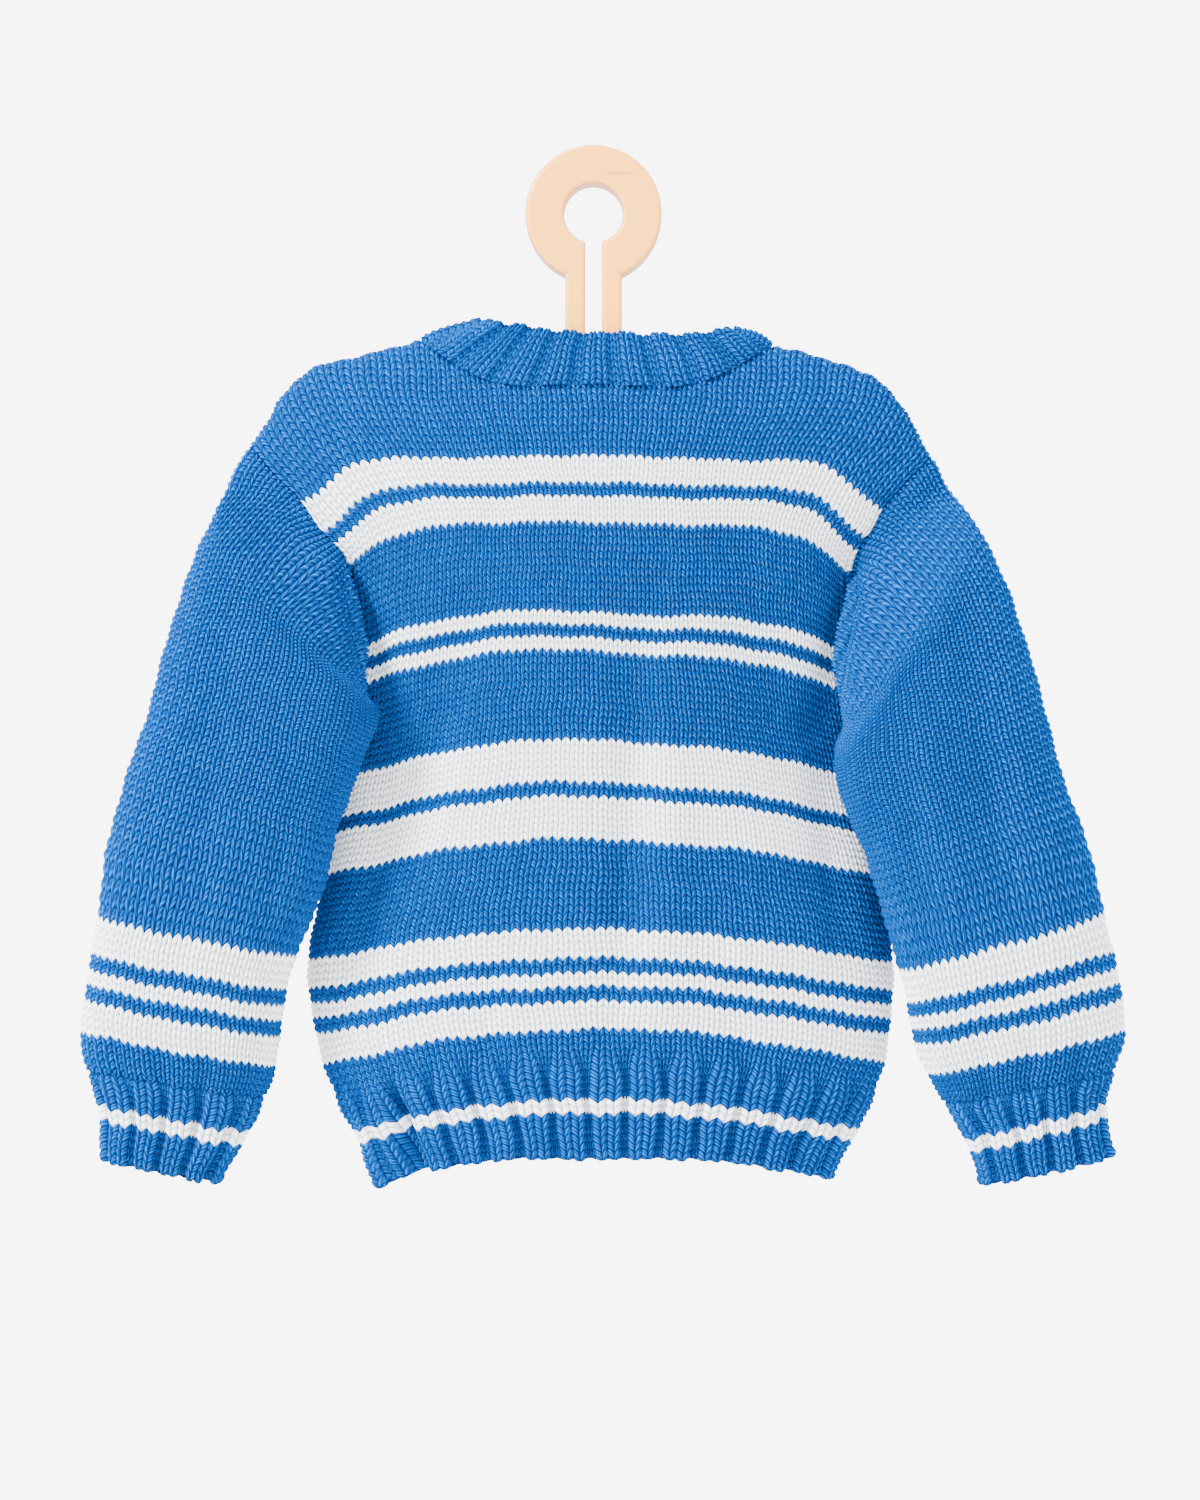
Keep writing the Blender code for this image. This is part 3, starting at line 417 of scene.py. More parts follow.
# %% [markdown]
# The tables now give three grids of places: one for the back, with a line for every wale and a row for about
# every second course, and one for each front. The rows crowd together near the shoulder, where the cloth turns
# fastest. There the fronts are eased to the back, so that the shoulder seams close.

# %% The grids of the back and the fronts
HEM_LINES, SIDE_LINES, ARMHOLE_LINES = 8, 25, 24  # rows up the hem, up the side seam and up the armhole
CROWDED = 1.5  # over 1, the armhole's rows lie closer together towards the shoulder
LOWER_ROWS = np.concatenate(
    [np.linspace(0, HEM_TOP, HEM_LINES), np.linspace(HEM_TOP, UNDERARM, SIDE_LINES)[1:]]
)
ARMHOLE_SHARES = 1 - (1 - np.linspace(0, 1, ARMHOLE_LINES)) ** CROWDED
BODY_ROWS = np.concatenate([LOWER_ROWS, UNDERARM + (SHOULDER_TIP - UNDERARM) * ARMHOLE_SHARES[1:]])
SETTLED = np.clip((BODY_ROWS - UNDERARM) / (SHOULDER_TIP - UNDERARM), 0, 1) ** 2
BACK_WALE_LINES = np.linspace(-HALF_BACK, HALF_BACK, BACK_WALES + 1)
SHOULDER_LINES = int(HALF_BACK - NECK_WALE) + 1
FRONT_WALE_LINES = np.concatenate([np.arange(HALF_BACK, BAND_WALE + 0.5, -1), [BAND_WALE]])
FRONT_SHARES = (HALF_BACK - FRONT_WALE_LINES) / (HALF_BACK - BAND_WALE)
FRONT_EASE = np.linspace(0, 1, len(FRONT_WALE_LINES) - SHOULDER_LINES + 1)[1:]


def up_to(top, rows, place):
    """Lines of places, one for each row, where the upper rows close up to end at the top of each wale."""
    every = np.arange(len(top))
    grid = []
    for row in rows:
        share = max(0.0, (row - UNDERARM) / (SHOULDER_TIP - UNDERARM))
        if share == 0:
            grid.append(place(every, row))
        else:
            courses = row + share * (top - SHOULDER_TIP)
            grid.append(np.concatenate([place(every[k : k + 1], c) for k, c in enumerate(courses)]))
    return np.array(grid)


def back_grid():
    wales = BACK_WALE_LINES
    grid = up_to(back_top(wales), BODY_ROWS, lambda which, c: back_place(wales[which], c))
    edge = SHOULDER_LINES
    share = np.arange(edge) / (edge - 1)
    moved = np.zeros_like(grid[-1])
    for name, view in (("left", slice(None)), ("right", slice(None, None, -1))):
        line = np.array([(x, 0, z) for x, z in SHOULDERS[name]])
        seam = walk(line[::-1], share)[0] - grid[-1][view][:edge]
        middle = (len(wales) + 1) // 2
        neck = seam[-1] * ((wales[edge:middle] / NECK_WALE) ** 2)[:, None]
        moved[view][:middle] = np.concatenate([seam, neck])
    return grid + SETTLED[:, None, None] * moved


def front_grid(side):
    tops = front_top(FRONT_SHARES)
    return up_to(tops, BODY_ROWS, lambda which, c: front_place(side, FRONT_SHARES[which], c))


def join_front(side, grids):
    """The front's shoulder is eased to the back's, stitch for stitch, and its side follows the back's side."""
    back = grids["back"] if side < 0 else grids["back"][:, ::-1]
    front = grids["front_left" if side < 0 else "front_right"]
    edge = SHOULDER_LINES
    moved = np.zeros_like(front[-1])
    moved[:edge] = back[-1, :edge] - front[-1, :edge]
    moved[edge:] = moved[edge - 1] * (1 - FRONT_EASE)[:, None]
    front += SETTLED[:, None, None] * moved
    seam = len(LOWER_ROWS)
    front[:seam, 0] = back[:seam, 0]
    front[-1, :edge] = back[-1, :edge]


GRIDS = {"back": back_grid(), "front_left": front_grid(-1), "front_right": front_grid(1)}
for side in (-1, 1):
    join_front(side, GRIDS)
print("back grid:", GRIDS["back"].shape, "front grid:", GRIDS["front_left"].shape)

# %% [markdown]
# ## The drape of the sleeves
#
# A sleeve is knitted flat and sewn into a tube, so it hangs as a flattened ring with its seam at the inner
# edge. Its top course is the armhole itself, and one more ring just below it turns the cloth from the
# shoulder's direction into the arm's. A bent cylinder would be quicker, but it wouldn't meet the armhole.


# %% Rings of a sleeve, and the curve along it
def armhole(side, back, front):
    """The armhole's loop: underarm, up the back, over the shoulder tip, down the front, underarm."""
    first = len(LOWER_ROWS) - 1
    up = back[first:, 0 if side < 0 else -1]
    down = front[first:, 0][::-1]
    return np.concatenate([up, down[1:]])


def section(row, around):
    """The flattened ring of a sleeve: around 0 is the inner edge, 0.25 the back, 0.5 the outer edge."""
    outer = np.array([row["outer_x"], 0, row["outer_z"]])
    inner = np.array([row["inner_x"], 0, row["inner_z"]])
    centre = (outer + inner) / 2 + np.array([0, row["y"], 0])
    reach = (inner - outer) / 2
    angle = np.linspace(0, 2 * np.pi, SLEEVE_STEPS)
    shape = 2 / SLEEVE_SQUARE
    places = (
        centre
        + power(np.cos(angle), shape)[:, None] * reach
        - power(np.sin(angle), shape)[:, None] * np.array([0, row["depth"] / 2, 0])
    )
    share = lengths(places)
    return between(around, share / share[-1], places)


def along_sleeve(courses, places, at):
    """Smooth curves along the sleeve, read at the wanted courses."""
    k, rise, t = stretch(courses, at)
    return cubic(places, slopes(places, courses), k, rise[:, None, None], t[:, None, None])


HEAD_START = 75  # above it the cloth turns towards the armhole, so every course has its row
SLEEVE_ROWS = np.concatenate([np.arange(0, HEAD_START, 2.0), np.arange(HEAD_START, SLEEVE_TOP + 0.1, 1.0)])
AROUND = {}
for side, name in ((-1, "left"), (1, "right")):
    loop = armhole(side, GRIDS["back"], GRIDS[f"front_{name}"])
    share = lengths(loop) / lengths(loop)[-1]
    half = share[(len(loop) - 1) // 2]
    around = np.where(share <= half, share / half / 2, 0.5 + (share - half) / (1 - half) / 2)
    way = np.stack([read(HEAD_WAY, HEAD_COLUMNS, c, around) for c in HEAD_COLUMNS[1:]], axis=-1)
    way[:, 0] *= side
    rings = [section(dict(zip(SLEEVE_COLUMNS, row)), around) for row in SLEEVES[name]]
    courses = np.concatenate([column(SLEEVES[name], SLEEVE_COLUMNS, "course"), [HEAD_COURSE, SLEEVE_TOP]])
    GRIDS[f"sleeve_{name}"] = along_sleeve(courses, np.array(rings + [loop + way, loop]), SLEEVE_ROWS)
    AROUND[name] = around
print("sleeve grid:", GRIDS["sleeve_left"].shape)

# %% [markdown]
# ## The neckband and the front bands
#
# The neckband is picked up round the neck and worked upwards in rib. The two front bands are worked along the
# fronts' edges, and one of them steps over the other, where the buttons close them.

# %% The grids of the bands
NECKBAND_STITCHES = 82
NECKBAND_COURSES = 8
BAND_STITCHES = 6
FRONT_NECK_START = SHOULDER_LINES - 1
NECK_LINES = slice(SHOULDER_LINES - 1, BACK_WALES + 2 - SHOULDER_LINES)


def normals(grid):
    """Unit normals of a grid of places, to the right of its rows and up its columns."""
    return unit(np.cross(np.gradient(grid, axis=1), np.gradient(grid, axis=0)))


def neck_path(values):
    """What lies along the neck edge, from the left front, round the back, to the right front."""
    left = values["front_left"][-1, FRONT_NECK_START:][::-1]
    back = values["back"][-1, NECK_LINES]
    right = values["front_right"][-1, FRONT_NECK_START:]
    return left, back, right


def neckband_facing(grid):
    """The outer side of the band, which looks away from the middle of the neck."""
    found = normals(grid)
    middle = grid.mean(axis=(0, 1))
    return found * np.sign(((grid - middle) * found).sum(axis=-1).mean())


left, back, right = neck_path(GRIDS)
NECK_PATH = np.concatenate([left, back[1:-1], right])
NECK_SHARES = np.linspace(0, 1, NECKBAND_STITCHES + 1)
base, neck_length = walk(NECK_PATH, NECK_SHARES)
corners = [
    0,
    len(left) - 1,
    len(left) + len(back) // 2 - 1,
    len(NECK_PATH) - len(right),
    len(NECK_PATH) - 1,
]
along = np.interp(NECK_SHARES * neck_length[-1], neck_length[corners], [0, 1, 2, 3, 4])
top = np.stack([read(NECKBAND_TOP, NECKBAND_COLUMNS, c, along) for c in "xyz"], axis=-1)
NECKBAND_LEVELS = np.linspace(0, 1, NECKBAND_COURSES + 1)
levels = NECKBAND_LEVELS[:, None, None]
straight = base * (1 - levels) + top * levels
GRIDS["neckband"] = straight + neckband_facing(straight) * NECKBAND_SWELL * np.sin(np.pi * levels)


def band_grid(side):
    """A front band: it steps off the front's edge, over its fellow on the left and under it on the right."""
    front, end = (GRIDS["front_left"], 0) if side < 0 else (GRIDS["front_right"], -1)
    edge = np.concatenate([front[:, -1], GRIDS["neckband"][1:, end]])
    shares = np.linspace(0, 1, 2 * BAND_STITCHES + 1)
    grid = np.repeat(edge[:, None, :], len(shares), axis=1)
    grid[..., 0] = side * (FRONT_EDGE_X - shares * (FRONT_EDGE_X + BAND_REACH))
    grid[..., 1] -= side * BAND_STEP * np.clip(shares * BAND_STITCHES / BAND_STEP_STITCHES, 0, 1)
    return grid


GRIDS["buttonhole_band"] = band_grid(-1)
GRIDS["button_band"] = band_grid(1)
print("neckband grid:", GRIDS["neckband"].shape, "band grid:", GRIDS["button_band"].shape)

# %% [markdown]
# ## Which way the cloth faces
#
# A wall needs an outward direction at every place. Along a seam the two pieces share one direction, so their
# walls meet in a neat mitre instead of cutting through each other.

# %% Outward directions, shared along the seams
OUTSIDE = {
    "back": 1,
    "front_left": -1,
    "front_right": 1,
    "sleeve_left": -1,
    "sleeve_right": 1,
    "buttonhole_band": -1,
    "button_band": 1,
}
FACINGS = {name: normals(GRIDS[name]) * sign for name, sign in OUTSIDE.items()}
FACINGS["neckband"] = neckband_facing(GRIDS["neckband"])


def fit_neck():
    """The neckband and the panels that it grows from get one shared direction where they meet."""
    left, back, right = neck_path(FACINGS)
    panel = np.concatenate([left, back[1:-1], right])
    places = NECK_SHARES * neck_length[-1]
    below = between(places, neck_length, panel)
    FACINGS["neckband"][0] = unit(below + FACINGS["neckband"][0])
    shared = between(neck_length, places, FACINGS["neckband"][0])
    fronts, backs = len(left), len(back)
    shared[[fronts - 1, fronts + backs - 2], 1] = 0
    shared = unit(shared)
    FACINGS["front_left"][-1, FRONT_NECK_START:] = shared[:fronts][::-1]
    FACINGS["back"][-1, NECK_LINES] = shared[fronts - 1 : fronts - 1 + backs]
    FACINGS["front_right"][-1, FRONT_NECK_START:] = shared[-len(right) :]


def square_front():
    """Both bands and the edges beside them face straight forwards."""
    ahead = np.array([0.0, 1.0, 0.0])
    for name in ("buttonhole_band", "button_band"):
        FACINGS[name][:] = ahead
    for name in ("front_left", "front_right"):
        FACINGS[name][:, -1] = ahead
    for end in (0, -1):
        FACINGS["neckband"][:, end] = unit(FACINGS["neckband"][:, end] * np.array([0, 1, 1]))


def edge_places(name):
    rows, cols = GRIDS[name].shape[:2]
    down, over = np.arange(rows), np.arange(cols)
    return [(down, 0 * down), (down, 0 * down + cols - 1), (0 * over + rows - 1, over)]


def underarm_facing(name):
    """At the underarm the cloth looks into the fold between the sleeve and the body's side seam."""
    edge = 0 if name == "left" else -1
    seam = GRIDS["back"][:, edge]
    lowest = len(LOWER_ROWS) - 1
    sleeve = GRIDS[f"sleeve_{name}"][:, 0]
    outwards = np.array([-UNDERARM_OUT if edge == 0 else UNDERARM_OUT, 0, 0])
    return unit(unit(seam[lowest - 1] - seam[lowest]) + unit(sleeve[-2] - sleeve[-1]) + outwards)


def share_seams():
    shared = {}
    for name in ("back", "front_left", "front_right", "sleeve_left", "sleeve_right"):
        for rows, cols in edge_places(name):
            for row, col in zip(rows, cols):
                key = tuple(np.round(GRIDS[name][row, col], 3))
                shared.setdefault(key, set()).add((name, row, col))
    for name, edge in (("left", 0), ("right", -1)):
        corner = tuple(np.round(GRIDS["back"][len(LOWER_ROWS) - 1, edge], 3))
        for piece, row, col in shared.pop(corner):
            FACINGS[piece][row, col] = underarm_facing(name)
    for members in shared.values():
        together = unit(sum(FACINGS[name][row, col] for name, row, col in members))
        for name, row, col in members:
            FACINGS[name][row, col] = together
    print("places shared along seams:", sum(len(m) > 1 for m in shared.values()))


fit_neck()
square_front()
share_seams()

# %% [markdown]
# ## Creases
#
# Knitted cloth on a hanger falls in a few long, soft folds: below the arms, down the sleeves, and where it is
# gathered into its ribs. A real fold is a place where the whole cloth sinks, so both sides of the wall move
# together. The cloth's weight also pulls its stripes down a little here and there, and hand knitting is never
# quite even, which shows as slightly crooked wales and stripes. A cloth simulation could make such folds, but
# tables put them exactly where they show. The hidden side has similar ones.

# %% Creases: x and z at the top, x and z at the bottom, half width, depth
CREASES = {}
CREASES["shown"] = [
    (-103, -150, -84, -228, 7, 5.5),
    (110, -140, 92, -232, 7, 6.0),
    (-84, -212, -97, -336, 9, 3.6),
    (91, -216, 104, -330, 9, 3.8),
    (-26, -98, -50, -176, 12, 1.1),
    (50, -104, 64, -180, 13, 1.2),
    (24, -150, 14, -350, 7, 2.4),
    (34, -205, 30, -345, 9, -1.4),
    (-82, -372, -64, -446, 4, 9.0),
    (-92, -384, -80, -440, 6, -6.0),
    (82, -380, 86, -440, 5, 2.0),
    (146, -150, 172, -330, 10, 3.6),
    (126, -170, 146, -330, 8, -2.0),
    (122, -235, 143, -345, 6, 2.4),
    (-146, -165, -166, -330, 9, 2.4),
    (-118, -240, -140, -330, 7, 1.4),
    (-196, -346, -190, -392, 4, 2.2),
    (-176, -352, -176, -390, 4, 1.6),
    (-156, -350, -163, -396, 4, 2.0),
    (198, -348, 194, -392, 4, 2.0),
    (176, -350, 178, -394, 4, 1.8),
    (156, -352, 164, -396, 4, 2.2),
]
CREASES["hidden"] = [
    (-52, -130, -74, -300, 11, 2.4),
    (58, -120, 82, -290, 12, 2.2),
    (-30, -310, -42, -410, 8, 1.6),
    (36, -300, 46, -405, 8, 1.8),
    (140, -160, 170, -330, 9, 2.4),
    (-144, -170, -170, -336, 9, 2.2),
    (-190, -350, -186, -392, 4, 1.8),
    (188, -350, 186, -392, 4, 1.8),
]

print("creases:", {side: len(table) for side, table in CREASES.items()})

# %% Dips: x and z of the middle, half width, half height, depth
SAGS = [
    (25, -190, 26, 50, 2.4),
    (22, -270, 28, 40, 1.5),
    (-62, -345, 16, 30, -1.5),
    (40, -345, 20, 30, -1.2),
    (-110, -142, 9, 22, 3.0),
    (107, -146, 9, 22, 4.0),
]
UPWARDS = np.array([0.0, 0.0, 1.0])
UNEVEN = 0.25  # how far a stitch is off its even place, in mm


def sagged(places):
    """How far the cloth hangs lower in its dips, as an arrow."""
    lower = np.zeros(places.shape[:-1])
    x, z = places[..., 0], places[..., 2]
    for x_middle, z_middle, width, height, depth in SAGS:
        lower += depth * np.exp(-(((x - x_middle) / width) ** 2) - ((z - z_middle) / height) ** 2)
    return UPWARDS * lower[..., None]


def uneven(places):
    """A small shift within the cloth, in waves a few stitches long that never quite repeat."""
    x, z = places[..., 0], places[..., 2]
    aside = np.sin(z / 5.9 + 2.1 * np.sin(x / 17)) + np.sin(z / 2.7 + x / 11)
    upwards = np.sin(x / 6.3 + 1.9 * np.sin(z / 19)) + np.sin(x / 3.1 - z / 13)
    return UNEVEN * np.stack([aside, 0 * aside, upwards], axis=-1)


def creased(places, facing):
    """How far the cloth sinks in its creases, on the side that it faces."""
    towards_wall = facing[..., 1]
    shown, hidden = np.clip(-2 * towards_wall, 0, 1), np.clip(2 * towards_wall, 0, 1)
    return shown * troughs(places, CREASES["shown"]) + hidden * troughs(places, CREASES["hidden"])


# %% [markdown]
# ## One stitch
#
# A knitted stitch shows two legs that meet in a V. Each leg is a short stretch of plied yarn that rises out
# of the cloth and dips back in at both ends. So many closed tubes would be heavy, and a picture of knitting
# would be flat at its edges, so the cloth is one fine sheet instead. Its rows of vertices zigzag with the Vs,
# so every groove between two legs runs along a row of edges and stays sharp. The vertices also keep their
# stitch coordinates, and the yarn's material uses those to bump the plies and fibres, to paint shade into the
# grooves and to paint highlights along the plies.

# %% The shape of a stitch: heights are in mm over the plain wall
SPLIT = np.array([0.0, 0.15, 0.35, 0.5, 0.65, 0.85])  # the lines of vertices across a stitch
ROW_STEP = 0.5  # in courses: a row of vertices in every groove, and one on every crest
LEAN = 0.75  # how many courses a leg climbs from the middle of its V to the side
LEAN_CURVE = 0.65  # under 1, the V is narrow below and round above
PURL_LEAN, PURL_ARCH = 0.6, 0.3  # shares of it: how high a purled bump lies, and how far its ends climb
ACROSS_LEG = [0.0, 0.3, 0.7, 1.0]  # the side of a stitch, near it, near the middle, in the middle of the V
LEG_CREST = [-0.60, 0.60, 0.60, -0.50]
LEG_GROOVE = [-0.95, -0.25, -0.30, -0.85]
PURL_CREST = 0.45
PURL_GROOVE = -0.35
LEG_ROUND = 0.8  # under 1, a leg is fuller than a wave

# %% The edges of a piece, in mm, apart from the two that are counted in courses
CAST_SCALLOP = 0.3  # how many courses a cast-on edge draws in between two stitches
CAST_PURL = 0.35  # and at a purled stitch
WALE_WIDTH = 4.1
SEAM_SINK = 1.1  # how deep the cloth is drawn in along a sewn edge
SEAM_WIDTH = 2.2
EDGE_ROUND = 1.2  # how far a cast-on or cast-off edge is rounded
EDGE_CHAIN = 1.3  # how high the chain of loops along such an edge stands
INSIDE_STEP = 4  # the plain inner side has every fourth line of vertices
INSIDE_COURSES = 2  # and a row for every second course


def leaned(across, purled):
    """How many courses higher this place across the stitch is, on a knitted leg or on a purled bump."""
    leg = LEAN * np.abs(2 * across - 1) ** LEAN_CURVE
    bump = LEAN * (PURL_LEAN + PURL_ARCH * np.cos(2 * np.pi * across))
    return leg + (bump - leg) * purled


def stitch_relief(across, share, purled):
    """Height over the wall: across goes over the stitch, share from one groove to the next."""
    inwards = 1 - np.abs(2 * across - 1)
    crest = np.interp(inwards, ACROSS_LEG, LEG_CREST)
    groove = np.interp(inwards, ACROSS_LEG, LEG_GROOVE)
    crest = crest + (PURL_CREST - crest) * purled
    groove = groove + (PURL_GROOVE - groove) * purled
    return groove + (crest - groove) * np.sin(np.pi * share) ** LEG_ROUND


# %% [markdown]
# ## Knitting a piece
#
# `knit` makes one piece. Two grids, a fine one outside and a coarse one inside, are laid on the same smooth
# sheet, one wall apart. Their four sides are then bridged, so the piece is closed, as real cloth is. Where a
# wale ends at a slanting edge its last stitches close up onto that edge. Where the knitting goes on into the
# next piece, as from a hem into the back, both pieces end along the same zigzag, so no stitch is cut.


# %% Two grids of vertices, bridged along their sides
def lay(mesh, places, stitch, sides, inside, layers):
    """A grid of vertices laid at the wanted places, which keep their stitch coordinates."""
    rows, cols = places.shape[:2]
    before = len(mesh.verts)
    bmesh.ops.create_grid(mesh, x_segments=cols - 1, y_segments=rows - 1, size=1)
    mesh.verts.ensure_lookup_table()
    flat, marks, bits = places.reshape(-1, 3) * MM, stitch.reshape(-1, 3), sides.reshape(-1)
    stitch_layer, side_layer, inside_layer = layers
    for number, vert in enumerate(mesh.verts[before:]):
        vert.co = flat[number]
        vert[stitch_layer] = marks[number]
        vert[side_layer] = int(bits[number])
        vert[inside_layer] = inside


def sides_of(course, low, high):
    """Which sides of the piece a vertex lies on: 1 left, 2 right, 4 bottom, 8 top."""
    bits = np.zeros(course.shape, int)
    bits[:, 0] |= 1
    bits[:, -1] |= 2
    bits[0] |= 4
    bits[-1] |= 8
    bits[course <= low] |= 4
    bits[course >= high] |= 8
    return bits


def bridge_sides(mesh, side_layer, inside_layer):
    """Joins the outer and the inner grid along each of the four sides."""
    for bit in (1, 2, 4, 8):
        edges = [
            edge
            for edge in mesh.edges
            if edge.is_boundary
            and all(vert[side_layer] & bit for vert in edge.verts)
            and edge.verts[0][inside_layer] == edge.verts[1][inside_layer]
        ]
        bmesh.ops.bridge_loops(mesh, edges=edges)


# %% [markdown]
# A real piece ends in one of three ways. A cast-on or cast-off edge is a rounded chain of loops. A sewn edge is
# drawn in, and leaves the fine furrow that shows along every seam. Elsewhere the knitting simply goes on.


# %% How the cloth rises and sinks beside its edges
def edge_relief(line, across, course, ends, stitches, goes_on, cast):
    """Height over the wall beside the edges. Both sides are sewn, and the top is too unless it is cast."""
    beside = np.minimum(line, stitches - line) * WALE_WIDTH
    if "high" not in (*goes_on, *cast):
        beside = np.minimum(beside, (ends["high"] - course) * COURSE_HEIGHT)
    out = -SEAM_SINK * np.exp(-((beside / SEAM_WIDTH) ** 2))
    chain = EDGE_CHAIN * (1 + np.sin(np.pi * across)) / 2
    for edge in cast:
        away = np.abs(course - ends[edge]) * COURSE_HEIGHT
        out = out - EDGE_ROUND * (1 - np.sqrt(np.clip(away / EDGE_ROUND, 0, 1)))
        out = out + chain * np.exp(-(((away - EDGE_ROUND) / EDGE_ROUND) ** 2))
    return out


# %% Knit one piece of cloth
NEARLY = 1e-9  # so that a course that ends on an edge counts as on it


def knit(name, node, lie, stitches, low, top_of, purl, rise, stripes, seed, goes_on=(), cast=()):
    """One knitted piece, in place of a node.

    lie(line, course) gives the places and outward directions of the cloth's middle, top_of(line) the topmost
    course, purl(number, course) which stitches are purled and rise(line, course) how high its ribs stand.
    The knitting carries on past the ends named in goes_on, and those named in cast have a chained edge.
    """
    # the lines across the stitches, and the rows in the grooves and on the crests
    line = np.append((np.arange(stitches)[:, None] + SPLIT).ravel(), stitches)
    across = np.append(np.tile(SPLIT, stitches), 1.0)
    number = np.minimum(line.astype(int), stitches - 1)
    high = top_of(line)
    start = low if "low" in goes_on else math.floor(low - LEAN)
    rows = np.arange(start, high.max() + ROW_STEP / 2, ROW_STEP)[:, None]
    purled = purl(number, rows)
    lift = leaned(across, purled)
    # a zigzag where the knitting goes on; elsewhere the stitches close up onto the edge
    scallop = CAST_SCALLOP * (1 - np.sin(np.pi * across))
    ends = {
        "low": low + (scallop + CAST_PURL * purl(number, low)) * ("low" in cast),
        "high": high - scallop / 2 * ("high" in cast),
    }
    course = rows + lift
    if "low" not in goes_on:
        course = np.maximum(course, ends["low"])
    if "high" not in goes_on:
        course = np.minimum(course, ends["high"])
    # the outer side
    places, facing = lie(line[None, :], course)
    places = places - facing * creased(places, facing)[..., None] - sagged(places)
    places = places + uneven(places)
    out = rise(line, course) + stitch_relief(across, np.mod(course - lift, 1.0), purled)
    out = out + edge_relief(line, across, course, ends, stitches, goes_on, cast)
    outer = places + facing * (WALL / 2 + out)[..., None]
    stitch = np.stack([line + seed + 0 * course, course - lift, 0 * course], axis=-1)
    floor = -math.inf if "low" in goes_on else ends["low"] + NEARLY
    ceiling = math.inf if "high" in goes_on else ends["high"] - NEARLY
    sides = sides_of(course, floor, ceiling)
    # the inner side, whose wall follows the creases and the hollows between the ribs
    wide = np.append(line[:-1:INSIDE_STEP], stitches)
    steps = np.linspace(0, 1, max(3, int((high.max() - low) / INSIDE_COURSES)))[:, None]
    course_in = low + steps * (top_of(wide) - low)
    places, facing = lie(wide[None, :], course_in)
    sunk = creased(places, facing) - np.minimum(rise(wide, course_in), 0)
    inner = places - facing * (WALL / 2 + sunk)[..., None] - sagged(places)
    stitch_in = np.stack([wide + seed + 0 * course_in, course_in, 0 * course_in + 1], axis=-1)
    sides_in = sides_of(course_in, -math.inf, math.inf)

    mesh = bmesh.new()
    vertices = mesh.verts.layers
    layers = (vertices.float_vector.new("stitch"), vertices.int.new("side"), vertices.int.new("inside"))
    lay(mesh, outer, stitch, sides, 0, layers)
    lay(mesh, inner, stitch_in, sides_in, 1, layers)
    fine = [vert for vert in mesh.verts if not vert[layers[2]]]
    bmesh.ops.remove_doubles(mesh, verts=fine, dist=1e-7)
    bridge_sides(mesh, layers[1], layers[2])
    bmesh.ops.recalc_face_normals(mesh, faces=mesh.faces)
    return finish_knit(name, node, mesh, stripes, (seed, stitches, low, high.max()))


# %% [markdown]
# The finished mesh becomes an object. Its stripes, its sharp grooves and its flat map for pictures all come
# from the stitch coordinates that its vertices kept.


# %% Turn the mesh into a piece
def add_object(name, data):
    made = bpy.data.objects.new(name, data)
    bpy.context.scene.collection.objects.link(made)
    return made


def finish_knit(name, node, mesh, stripes, span):
    data = bpy.data.meshes.new(name)
    mesh.to_mesh(data)
    mesh.free()
    data.shade_smooth()
    piece = add_object(name, data)
    corner, face, count, marks = loops_of(data)
    paint_stripes(data, stripes, np.bincount(face, weights=marks[corner, 1]) / count)
    sharpen_grooves(data, marks)
    lay_out(data, *span)
    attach(piece, "root")
    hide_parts(node)
    triangles = len(data.loops) - 2 * len(data.polygons)
    print(f"{name}: {triangles} triangles, {open_edges(data)} open edges")
    return piece


def open_edges(data):
    edges = np.empty(len(data.loops), np.int32)
    data.loops.foreach_get("edge_index", edges)
    return int((np.bincount(edges, minlength=len(data.edges)) != 2).sum())


# %% Stripes and sharp grooves, from the stitch coordinates
def loops_of(data):
    """For each corner its vertex and its face, for each face its corners, and for each vertex its stitch."""
    corner = np.empty(len(data.loops), np.int32)
    data.loops.foreach_get("vertex_index", corner)
    count = np.empty(len(data.polygons), np.int32)
    data.polygons.foreach_get("loop_total", count)
    face = np.repeat(np.arange(len(count)), count)
    marks = np.empty(len(data.vertices) * 3, np.float32)
    data.attributes["stitch"].data.foreach_get("vector", marks)
    return corner, face, count, marks.reshape(-1, 3)


def paint_stripes(data, stripes, middle):
    """A face is white where the middle of it belongs to a white course."""
    white = np.zeros(len(middle), np.float32)
    for first, last in stripes:
        white[(middle >= first) & (middle < last)] = 1
    data.attributes.new("white", "FLOAT", "FACE").data.foreach_set("value", white)


def sharpen_grooves(data, marks):
    """The edges that run in a groove between two legs stay sharp."""
    ends = np.empty(len(data.edges) * 2, np.int32)
    data.edges.foreach_get("vertices", ends)
    ends = ends.reshape(-1, 2)
    course, inside = marks[ends, 1], marks[ends, 2]
    whole = (np.abs(course - np.round(course)) < 1e-4).all(axis=1)
    level = np.abs(course[:, 0] - course[:, 1]) < 1e-4
    sharp = whole & level & (inside < 0.5).all(axis=1)
    edges = data.attributes.get("sharp_edge") or data.attributes.new("sharp_edge", "BOOLEAN", "EDGE")
    edges.data.foreach_set("value", sharp)


# %% [markdown]
# An exporter can bake the yarn's material into a picture, and then every face needs its own place in that
# picture. Unwrapping a million small faces would be slow and would tear them apart. The stitch coordinates are
# already a flat map of the knitting, so the two sides are simply stacked, with the rims above them.


